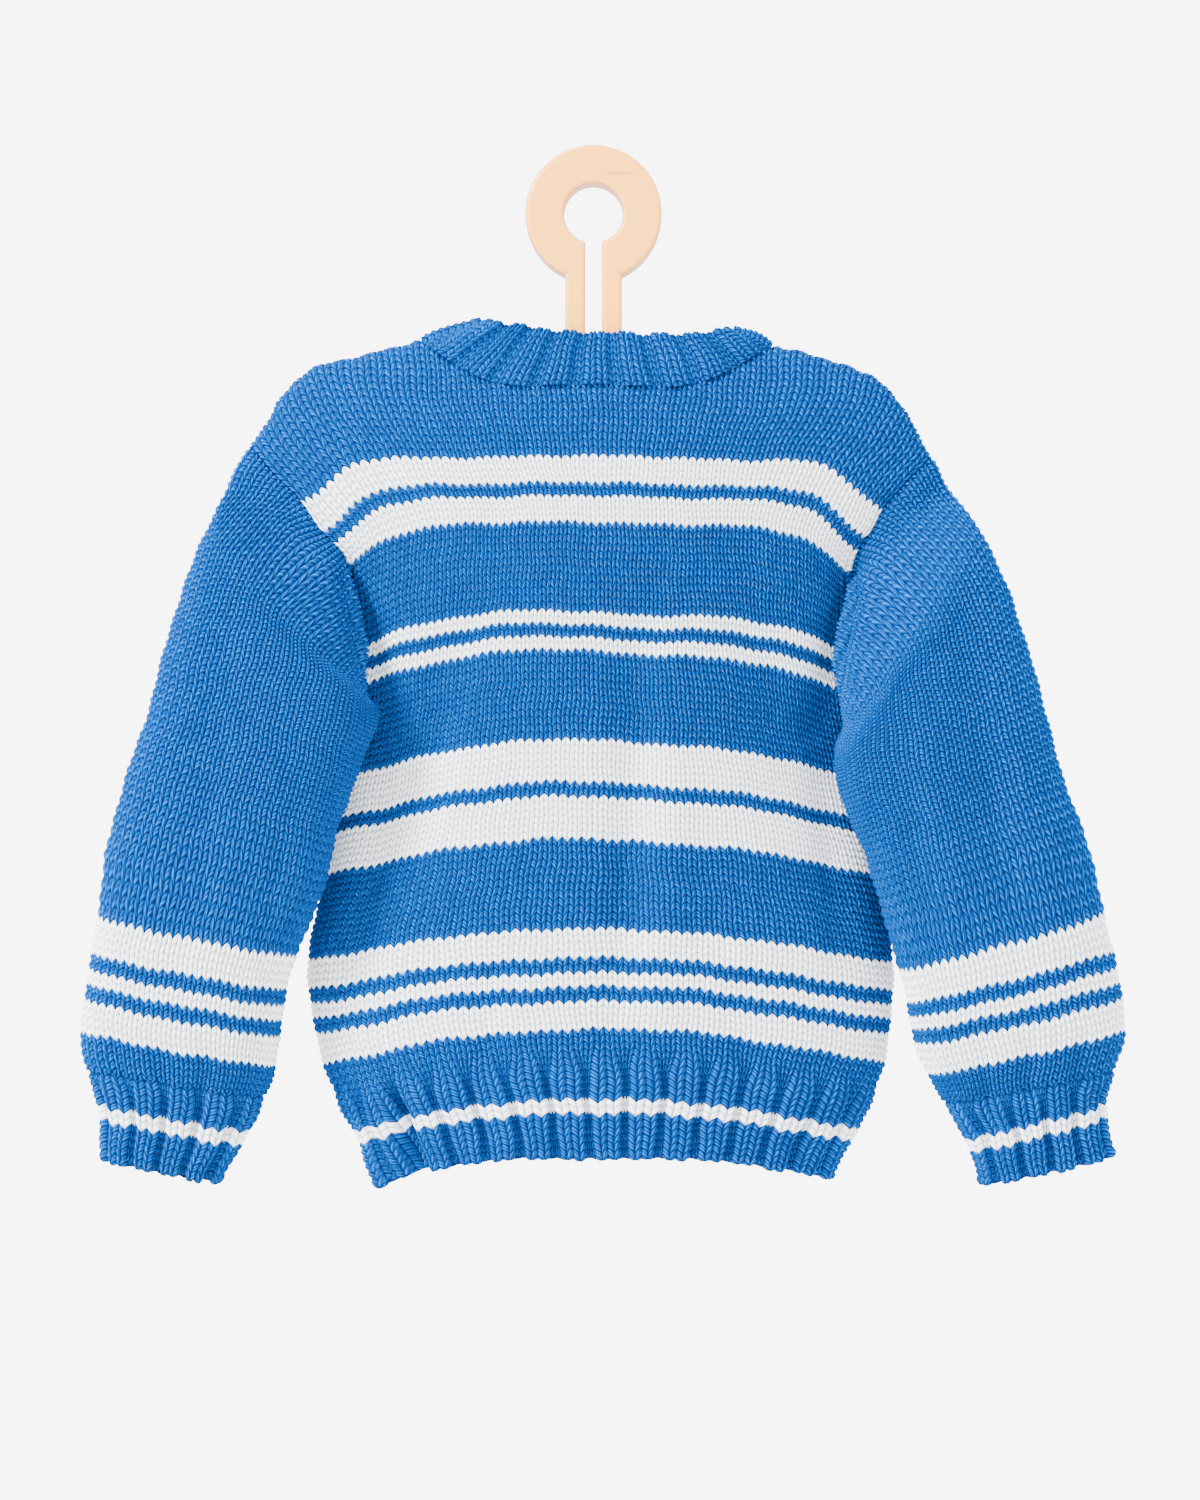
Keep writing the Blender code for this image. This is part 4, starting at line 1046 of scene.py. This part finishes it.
# %% The flat map: from below, the outer side, the inner side, and the rims in four narrow strips
OUTER_HEIGHT = 0.78
INNER_START, INNER_HEIGHT = 0.80, 0.16
RIM_START, RIM_STEP, RIM_HEIGHT = 0.965, 0.008, 0.006
MARGIN_U, MARGIN_V = 0.01, 0.005
RIM_LIMIT = 0.02  # a face is on a rim when some of its corners are inside and some outside
SIDE_LIMIT = 0.002  # and on a left or right rim when it lies this near the side


def lay_out(data, seed, stitches, low, high):
    """The map's width is the stitches and its height the courses."""
    corner, face, count, marks = loops_of(data)
    u = (marks[corner, 0] - seed) / stitches
    v = np.clip((marks[corner, 1] - low + LEAN) / (high - low + LEAN), 0, 1)
    inside = marks[corner, 2]
    mean = (np.bincount(face, weights=inside) / count)[face]
    v_map = np.where(mean < RIM_LIMIT, v * OUTER_HEIGHT, INNER_START + v * INNER_HEIGHT)
    rim = (mean > RIM_LIMIT) & (mean < 1 - RIM_LIMIT)
    mean_u = (np.bincount(face, weights=u) / count)[face]
    low_or_high = np.where(v < 0.5, 2, 3)
    strip = np.where(mean_u < SIDE_LIMIT, 0, np.where(mean_u > 1 - SIDE_LIMIT, 1, low_or_high))
    v_map = np.where(rim, RIM_START + strip * RIM_STEP + inside * RIM_HEIGHT, v_map)
    u_map = np.where(rim & (strip < 2), v, u)
    uv = np.stack([MARGIN_U + (1 - 2 * MARGIN_U) * u_map, MARGIN_V + (1 - 2 * MARGIN_V) * v_map], axis=-1)
    data.uv_layers.new(name="OFBake").data.foreach_set("uv", uv.astype(np.float32).ravel())


# %% [markdown]
# ## The yarn
#
# A material here is a tree of nodes, and its sums are Math nodes. Linked one by one they are hard to read. The
# small class `Wire` makes one for every plus, minus or times sign, so the sums read like sums.


# %% Helpers for node materials
class Wire:
    """A node's output. Each sign between two of them, or between one and a number, makes a Math node."""

    def __init__(self, tree, socket):
        self.tree, self.socket = tree, socket

    def __add__(self, other):
        return maths("ADD", self, other)

    def __sub__(self, other):
        return maths("SUBTRACT", self, other)

    def __rsub__(self, other):
        return maths("SUBTRACT", other, self)

    def __mul__(self, other):
        return maths("MULTIPLY", self, other)

    def __truediv__(self, other):
        return maths("DIVIDE", self, other)

    def __pow__(self, other):
        return maths("POWER", self, other)


def new_material(name):
    material = bpy.data.materials.new(name)
    material.use_nodes = True
    tree = material.node_tree
    return material, tree, tree.nodes["Principled BSDF"]


def feed(node, inputs):
    """Each named input gets a fixed value, or the wire from another node."""
    for name, value in inputs.items():
        if isinstance(value, Wire):
            value.tree.links.new(value.socket, node.inputs[name])
        else:
            node.inputs[name].default_value = value


def wire(tree, kind, output=0, inputs=None, **settings):
    """A new node with these settings and inputs. What comes back is one of its outputs."""
    node = tree.nodes.new(f"ShaderNode{kind}")
    for name, value in settings.items():
        setattr(node, name, value)
    feed(node, inputs or {})
    return Wire(tree, node.outputs[output])


def maths(operation, *values, clamp=False):
    tree = next(value.tree for value in values if isinstance(value, Wire))
    return wire(tree, "Math", 0, dict(enumerate(values)), operation=operation, use_clamp=clamp)


# %% Helpers for the nodes that the materials share
def attribute(tree, name, output="Fac"):
    return wire(tree, "Attribute", output, attribute_name=name)


def own_place(tree):
    """Where a point lies on the object itself, in metres."""
    return wire(tree, "TexCoord", "Object")


def part_of(vector, axis):
    """One of a vector's three numbers."""
    return wire(vector.tree, "SeparateXYZ", axis, {0: vector})


def scaled(vector, scale):
    return wire(vector.tree, "Mapping", 0, {"Vector": vector, "Scale": scale})


def noise(vector, scale, detail=2.0, roughness=0.5):
    inputs = {"Vector": vector, "Scale": scale, "Detail": detail, "Roughness": roughness}
    return wire(vector.tree, "TexNoise", "Fac", inputs)


def mixed(share, first, second):
    """A blend of two colours."""
    return wire(share.tree, "Mix", 2, {0: share, 6: first, 7: second}, data_type="RGBA")


def bumped(height, strength, distance):
    return wire(height.tree, "Bump", 0, {"Height": height, "Strength": strength, "Distance": distance})


# %% [markdown]
# There are two yarns, one blue and one white, with the same build: a few plies twisted together, soft and
# slightly hairy. A picture of wool wouldn't follow the stitches. This material reads the stitch coordinates
# instead. From them it finds how deep in a groove a point lies and how the plies cross the leg. It paints shade
# into the grooves and highlights along the plies, and bumps the yarn to match.

# %% The yarn material
# the yarns' colours: painted shade for the grooves, the yarns' own colours, and painted highlights for the
# plies
BLUE_PAINTED_SHADE = (0.000, 0.004, 0.032, 1)
BLUE = (0.000, 0.034, 0.175, 1)
BLUE_PLY_HIGHLIGHT = (0.000, 0.115, 0.430, 1)
WHITE_PAINTED_SHADE = (0.140, 0.230, 0.350, 1)
WHITE = (0.950, 0.960, 0.960, 1)
WHITE_PLY_HIGHLIGHT = (0.990, 0.990, 0.990, 1)
GROOVE_SHADE = 0.2  # how light the groove between two courses stays, beside the one between two wales
LEFT_PLIES = 2.0  # plies that show along a course of a left leg, where they cross the leg
LEFT_TURN = 0.25
RIGHT_PLIES = 0.8  # and on a right leg, where they run steeply
RIGHT_TURN = -1.5
FIBRES = 2200  # how many hairs and hollows lie along a metre


def make_yarn():
    material, tree, shader = new_material("plied_yarn")
    stitch = attribute(tree, "stitch", "Vector")
    wale, course = part_of(stitch, 0), part_of(stitch, 1)
    across, share = maths("FRACT", wale), maths("FRACT", course)
    side = maths("ABSOLUTE", across * 2.0 - 1.0)
    # how far out of the grooves: 0 in a groove, 1 on a crest
    over = share * (1.0 - share) * 4.0
    ends = side * (1.0 - side) * 4.0
    crest = (over**0.6 * (1 - GROOVE_SHADE) + GROOVE_SHADE) * ends**0.65
    # the yarn's twist is the same all along it, so its plies cross a left leg and run along a right one
    left = maths("LESS_THAN", across, 0.5)
    plies = left * (LEFT_PLIES - RIGHT_PLIES) + RIGHT_PLIES
    turn = left * (LEFT_TURN - RIGHT_TURN) + RIGHT_TURN
    wander = noise(stitch, 1.3, 1.0) * 0.8
    wave = maths("SINE", (share * plies + side * turn + wander) * (2 * math.pi))
    # a painted highlight along each ply, brightest on the crests; the same mask also bumps the yarn
    ply_and_highlight = (wave * 0.5 + 0.5) ** 1.8 * crest
    # each leg is a little different
    leg = wire(tree, "CombineXYZ", 0, {0: maths("FLOOR", wale * 2.0), 1: maths("FLOOR", course)})
    own = wire(tree, "TexWhiteNoise", "Value", {"Vector": leg})
    white = attribute(tree, "white")
    # painted shade: the grooves get the dark colours and the crests the yarn's own colour
    colour = mixed(
        maths("SMOOTH_MIN", crest, 1.0, 0.1),
        mixed(white, BLUE_PAINTED_SHADE, WHITE_PAINTED_SHADE),
        mixed(white, BLUE, WHITE),
    )
    # painted highlights along the plies, a little different on each leg
    colour = mixed(ply_and_highlight * (own * 0.6 + 0.5), colour, mixed(white, BLUE_PLY_HIGHLIGHT, WHITE_PLY_HIGHLIGHT))
    height = crest * 0.6 + ply_and_highlight * 0.45 + noise(own_place(tree), FIBRES, 3.0) * 0.25
    feed(
        shader,
        {
            "Base Color": colour,
            "Roughness": 0.85,
            "Specular IOR Level": 0.02,
            "Sheen Weight": 0.03,
            "Sheen Roughness": 0.5,
            "Sheen Tint": (0.02, 0.2, 0.8, 1),
            "Normal": bumped(height, 0.8, 0.0006),
        },
    )
    return material


YARN = make_yarn()
print("yarn material:", len(YARN.node_tree.nodes), "nodes")

# %% [markdown]
# ## The panels of the body
#
# The back is 66 stitches wide. Its stripes are ranges of courses, and they arch because the cloth hangs lower
# at its sides. The fronts match it stripe for stripe, as a knitter makes them. In a rib, two knitted wales
# stand out, and the two purled ones between them sink in and draw together. That is what makes ribbing springy.

# %% Stripes and ribs
BODY_STRIPES = [
    (6, 8), (18, 22), (24, 26), (28, 32), (44, 50), (52, 58), (70, 72), (74, 76), (88, 92), (94, 98),
]
SLEEVE_STRIPES = [(5, 7), (17, 21), (23, 25), (27, 31)]
RIB_RAISED = 1.5  # how far a knitted pair stands above the plain knitting
RIB_SUNK = -2.1
RIB_STEEP = 2.2  # over 1, the sides of a rib are steeper than a wave
RIB_FADE = 2  # the courses over which a rib turns into plain knitting
HEM_PAIR = 0.84  # how much of a repeat's width the knitted pair takes, where the rib is drawn together
CUFF_PAIR = 0.80
BAND_PAIR = 0.62
CAST_SPREAD = 0.3  # how much less a rib is drawn together at its cast-on edge
CAST_COURSES = 5  # and up to which course


def plain(number, course):
    return 0.0 * number


def ribbed(end):
    """Which stitches are purled, as a share from 0 to 1, in a rib that ends at this course."""

    def purl(number, course):
        return (number % RIB_REPEAT >= RIB_PAIR) * np.clip((end - course) / RIB_FADE, 0, 1)

    return purl


def flat_rise(line, course):
    return 0.0


def rib_fade(course, end):
    """How much of a rib that ends at this course is left: 1 below, 0 in the plain knitting."""
    return np.clip((end + RIB_FADE - course) / RIB_FADE / 2, 0, 1)


def rib_rise(end, raised=RIB_RAISED, sunk=RIB_SUNK):
    """Rounded knitted pairs over sunken purled pairs, fading where the rib ends."""

    def rise(line, course):
        hump = np.clip(np.sin(2 * np.pi * line / RIB_REPEAT) * RIB_STEEP, -1, 1) * 0.5 + 0.5
        return rib_fade(course, end) * (sunk + (raised - sunk) * hump)

    return rise


def rib_line(line, fade, pair):
    """Knitted pairs spread and purled pairs draw together, as rib does."""
    repeat = np.floor(line / RIB_REPEAT) * RIB_REPEAT
    inside = (line - repeat) / RIB_REPEAT
    drawn = repeat + RIB_REPEAT * np.interp(inside, [0, 0.5, 1], [0, pair, 1]) - RIB_PAIR * (pair - 0.5)
    return line + (drawn - line) * fade


def hem_line(line, course, end, pair):
    """The same in a hem or cuff, which is less drawn together at the cast-on edge."""
    looser = (1 - CAST_SPREAD) + CAST_SPREAD * np.clip(course / CAST_COURSES, 0, 1)
    return rib_line(line, rib_fade(course, end) * looser, pair)


# %% [markdown]
# `knit` asks where a stitch lies, and the answer is a place on the panel's grid. In a hem the purled pairs are
# drawn together first. Above the underarm the courses of each wale are shared out up to its own top, so that
# the stripes there still run across and every wale ends neatly at the shoulder or the neck.

# %% Where the stitches of the panels lie
FRONT_STITCHES = 30


def level(course):
    """A straight top edge."""
    return lambda line: 0 * line + course


def body_row(course, top):
    """The row of the body's grid that this course lies on, in a wale with this topmost course."""
    upper = UNDERARM + (course - UNDERARM) * (SHOULDER_TIP - UNDERARM) / (top - UNDERARM)
    return np.where(course > UNDERARM, upper, course)


def lie_on(name, rows, cols, row, col):
    """The place at this row and column of a grid, and the outward direction there."""
    return on_sheet(GRIDS[name], rows, cols, row, col), unit(on_sheet(FACINGS[name], rows, cols, row, col))


def lie_back(line, course):
    wale = np.clip(hem_line(line, course, HEM_TOP, HEM_PAIR), 0, BACK_WALES) - HALF_BACK
    return lie_on("back", BODY_ROWS, BACK_WALE_LINES, body_row(course, back_top(wale)), wale)


def lie_front(name):
    def lie(line, course):
        share = np.clip(hem_line(line, course, HEM_TOP, HEM_PAIR) / FRONT_STITCHES, 0, 1)
        return lie_on(name, BODY_ROWS, FRONT_SHARES, body_row(course, front_top(share)), share)

    return lie


# %% Knit the back and its hem
CLOTH = {}
CLOTH["back"] = knit(
    "back_knit", "back", lie_back, BACK_WALES, HEM_TOP, lambda line: back_top(line - HALF_BACK),
    plain, rib_rise(HEM_TOP), BODY_STRIPES, 0, goes_on=["low"],
)
CLOTH["hem_back"] = knit(
    "hem_back_rib", "hem_back", lie_back, BACK_WALES, 0, level(HEM_TOP),
    ribbed(HEM_TOP), rib_rise(HEM_TOP), BODY_STRIPES, 0, goes_on=["high"], cast=["low"],
)

# %% Knit the fronts and their hems
for side, name in ((-1, "front_left"), (1, "front_right")):
    lie, seed = lie_front(name), 100 + 50 * side
    CLOTH[name] = knit(
        f"{name}_knit", name, lie, FRONT_STITCHES, HEM_TOP, lambda line: front_top(line / FRONT_STITCHES),
        plain, rib_rise(HEM_TOP), BODY_STRIPES, seed, goes_on=["low"],
    )
    CLOTH[f"hem_{name}"] = knit(
        f"hem_{name}_rib", f"hem_{name}", lie, FRONT_STITCHES, 0, level(HEM_TOP),
        ribbed(HEM_TOP), rib_rise(HEM_TOP), BODY_STRIPES, seed, goes_on=["high"], cast=["low"],
    )

# %% [markdown]
# ## The sleeves
#
# A sleeve grows wider as it is knitted, by new stitches beside its seam. Here all the wales run the whole
# length, evenly spaced where they show, and those beside the seam are drawn together below. That keeps the
# grid of vertices whole, and the crowded wales hide where the sleeve faces the body.

# %% Knit the sleeves and cuffs
SLEEVE_STITCHES = 56
CUFF_STITCHES = 42
GROWTH = [(0, 42), (13, 44), (24, 48), (44, 51), (75, 56), (86, 56)]  # course, stitches round the sleeve
SEAM_SHARE = 0.0008  # the seam's fine groove, as a share of the way round
SEAM_POWER = 6  # the higher, the nearer to the seam the wales are drawn together
IN_ORDER = 0.9  # how near the wales beside the seam may come to changing places


def lie_sleeve(name, stitches):
    growth = np.array(GROWTH, float)

    def lie(line, course):
        drawn = hem_line(line, course, CUFF_TOP, CUFF_PAIR) if stitches == CUFF_STITCHES else line
        middle = drawn - stitches / 2
        ends = 2 * np.abs(middle) / stitches
        spread = stitches / np.interp(course, growth[:, 0], growth[:, 1])
        bend = np.minimum(SEAM_POWER, IN_ORDER * spread / np.maximum(spread - 1, 0.01))
        place = (spread * ends - (spread - 1) * ends**bend) / 2
        at = np.clip(0.5 + np.sign(middle) * place, SEAM_SHARE, 1 - SEAM_SHARE)
        return lie_on(f"sleeve_{name}", SLEEVE_ROWS, AROUND[name], course, at)

    return lie


for name, seed in (("left", 200), ("right", 300)):
    CLOTH[f"sleeve_{name}"] = knit(
        f"sleeve_{name}_knit", f"sleeve_{name}", lie_sleeve(name, SLEEVE_STITCHES), SLEEVE_STITCHES, CUFF_TOP,
        level(SLEEVE_TOP), plain, flat_rise, SLEEVE_STRIPES, seed,
    )
    CLOTH[f"cuff_{name}"] = knit(
        f"cuff_{name}_rib", f"cuff_{name}", lie_sleeve(name, CUFF_STITCHES), CUFF_STITCHES, 0,
        level(CUFF_TOP), ribbed(CUFF_TOP + 1), rib_rise(CUFF_TOP - RIB_FADE), SLEEVE_STRIPES, seed,
        cast=["low"],
    )

# %% [markdown]
# ## The bands
#
# The neckband stands up round the neck, and its cast-off edge rolls over a little. The front bands close the
# fronts behind the hanger. Their ribs are shallow and run the whole way.


# %% Knit the neckband and the front bands
LONG_RIB = 1000  # a rib that doesn't end
BAND_RISE = rib_rise(LONG_RIB, 1.0, -1.0)


def lie_neckband(line, course):
    share = np.clip(rib_line(line, 1.0, BAND_PAIR) / NECKBAND_STITCHES, 0, 1)
    return lie_on("neckband", NECKBAND_LEVELS, NECK_SHARES, course / NECKBAND_COURSES, share)


def lie_band(name):
    rows = lengths(GRIDS[name][:, 0]) / COURSE_HEIGHT
    shares = np.linspace(0, 1, GRIDS[name].shape[1])

    def lie(line, course):
        share = np.clip(rib_line(line, 1.0, BAND_PAIR) / BAND_STITCHES, 0, 1)
        return lie_on(name, rows, shares, course, share)

    return lie, rows[-1]


CLOTH["neckband"] = knit(
    "neckband_rib", "neckband", lie_neckband, NECKBAND_STITCHES, 0, level(NECKBAND_COURSES),
    ribbed(LONG_RIB), BAND_RISE, [], 400, cast=["high"],
)
for name, seed in (("buttonhole_band", 500), ("button_band", 520)):
    lie, last = lie_band(name)
    CLOTH[name] = knit(
        f"{name}_rib", name, lie, BAND_STITCHES, 0, level(last),
        ribbed(LONG_RIB), BAND_RISE, [], seed, cast=["low", "high"],
    )

for piece in CLOTH.values():
    piece.data.materials.append(YARN)

# %% [markdown]

# %% [markdown]
# ## The hanger
#
# The hanger is sawn from birch plywood. Its face shows long pale grain and its edges show the thin layers
# that it is glued from. The imported model's own meshes are right as they are, so they only get a material. It
# reads the place on the object, so the grain runs through the wood and meets itself at every edge.


# %% Birch plywood
STREAK = [(0, 0.0100, 0.0085), (2, 0.0040, 0.0007)]  # a trace of bark: axis, middle and half size in metres
LAYER_PAIR = 0.0026  # the thickness of two of the glued layers, in metres


def dress(node, material):
    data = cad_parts[node].data
    data.materials.clear()
    data.materials.append(material)


def make_plywood():
    material, tree, shader = new_material("birch_plywood_varnished")
    place = own_place(tree)
    streaks = noise(scaled(place, (7, 30, 160)), 1.6, 4.0, 0.6)
    pores = noise(scaled(place, (40, 100, 900)), 1.0, 2.0)
    face = mixed(streaks, (0.935, 0.355, 0.022, 1), (0.960, 0.420, 0.050, 1))
    face = mixed(pores * 0.25, face, (0.560, 0.190, 0.060, 1))
    # one short brown streak of bark beside the top of the ring
    far = [((part_of(place, axis) - middle) / half) ** 2.0 for axis, middle, half in STREAK]
    bark = maths("SUBTRACT", 1.0, far[0] + far[1], clamp=True)
    face = mixed(bark * 0.7, face, (0.360, 0.100, 0.020, 1))
    layer = maths("SINE", part_of(place, 1) * (2 * math.pi / LAYER_PAIR))
    layer = maths("ADD", layer * 2.5, 0.5, clamp=True)
    edge = mixed(layer, (0.300, 0.110, 0.040, 1), (0.640, 0.300, 0.120, 1))
    normal = wire(tree, "NewGeometry", "True Normal")
    flat = maths("GREATER_THAN", maths("ABSOLUTE", part_of(normal, 1)), 0.6)
    feed(
        shader,
        {
            "Base Color": mixed(flat, edge, face),
            "Roughness": 0.45,
            "Normal": bumped(pores, 0.2, 0.0002),
        },
    )
    return material


PLYWOOD = make_plywood()
dress("hanger", PLYWOOD)
print("plywood material:", len(PLYWOOD.node_tree.nodes), "nodes")

# %% [markdown]
# ## The buttons
#
# Five plain buttons close the front. They are cast in one colour with a slight cloud in it and a glossy skin.
# At their size two blues, mixed by one soft noise, and a thin clear coat are enough.


# %% Plain blue buttons
def make_button_plastic():
    material, tree, shader = new_material("button_plastic")
    cloud = noise(own_place(tree), 140, 3.0)
    colour = mixed(cloud, (0.010, 0.090, 0.360, 1), (0.030, 0.170, 0.520, 1))
    feed(shader, {"Base Color": colour, "Roughness": 0.3, "Coat Weight": 0.3})
    return material


BUTTON_PLASTIC = make_button_plastic()
for number in range(1, 6):
    dress(f"button_{number}", BUTTON_PLASTIC)
print("buttons:", number)

# %% [markdown]
# ## Floor and sky
#
# A pale floor and a pale sky give the even, bright look of a daylight studio. The sky looks brighter to the
# camera than it shines on the cloth, as a lit backdrop does. One strength for both would either turn the
# background grey or wash the blue out.


# %% Floor and sky
SKY_LIGHT = 4.7
SKY_MORE_SEEN = 3.3


def make_floor():
    mesh = bmesh.new()
    bmesh.ops.create_circle(mesh, cap_ends=True, segments=96, radius=3)
    bmesh.ops.translate(mesh, verts=mesh.verts, vec=(0, 0, -1.4))
    data = bpy.data.meshes.new("floor")
    mesh.to_mesh(data)
    mesh.free()
    floor = add_object("floor", data)
    material, tree, shader = new_material("pale_floor")
    feed(shader, {"Base Color": (0.86, 0.85, 0.84, 1), "Roughness": 0.9})
    data.materials.append(material)


def make_sky():
    world = bpy.data.worlds.new("pale_sky")
    bpy.context.scene.world = world
    world.use_nodes = True
    tree = world.node_tree
    seen = wire(tree, "LightPath", "Is Camera Ray") * SKY_MORE_SEEN
    feed(tree.nodes["Background"], {"Color": (0.93, 0.93, 0.94, 1), "Strength": seen + SKY_LIGHT})


make_floor()
make_sky()
print("sky strength:", SKY_LIGHT, "and as seen", SKY_LIGHT + SKY_MORE_SEEN)

# %% [markdown]
# ## Light
#
# The daylight comes from the upper left. A key light there brings out the stitches and the ribs. It is smaller
# and nearer than the sky, so it casts soft shadows. A weak one fills them, and one shines on the hidden side.


# %% Soft lights
def soft_light(name, place, target, size, watts):
    light = bpy.data.lights.new(name, "AREA")
    light.shape = "DISK"
    light.size = size
    light.energy = watts
    lamp = add_object(name, light)
    lamp.location = place
    lamp.rotation_euler = (Vector(target) - Vector(place)).to_track_quat("-Z", "Y").to_euler()
    print(f"{name}: {watts} W")


MIDDLE = (0, 0, -0.23)
soft_light("key_light", (-1.5, -1.0, 1.0), MIDDLE, 0.7, 185)
soft_light("fill_light", (1.6, -1.4, 0.1), MIDDLE, 1.4, 10)
soft_light("wall_side_light", (0.6, 1.8, 0.9), MIDDLE, 1.2, 50)

# %% [markdown]
# ## Camera
#
# The camera stands straight in front of the cardigan's back. A long lens from a little way off keeps the
# sleeves from looking bent. Its focal length follows from how much of the cloth fits into the picture.

# %% Camera
SENSOR = 36
CLOTH_AWAY = 1.185  # from the camera to the back's knitting, in metres
SEEN_HEIGHT = 0.618  # how much of it fits into the picture's height
camera = add_object("camera", bpy.data.cameras.new("camera"))
camera.data.sensor_width = SENSOR
camera.data.lens = SENSOR * CLOTH_AWAY / SEEN_HEIGHT
camera.location = (0.0027, -1.2, -0.2355)
camera.rotation_euler = (math.radians(90), 0, 0)
bpy.context.scene.camera = camera
print("camera lens in mm:", round(camera.data.lens, 2))
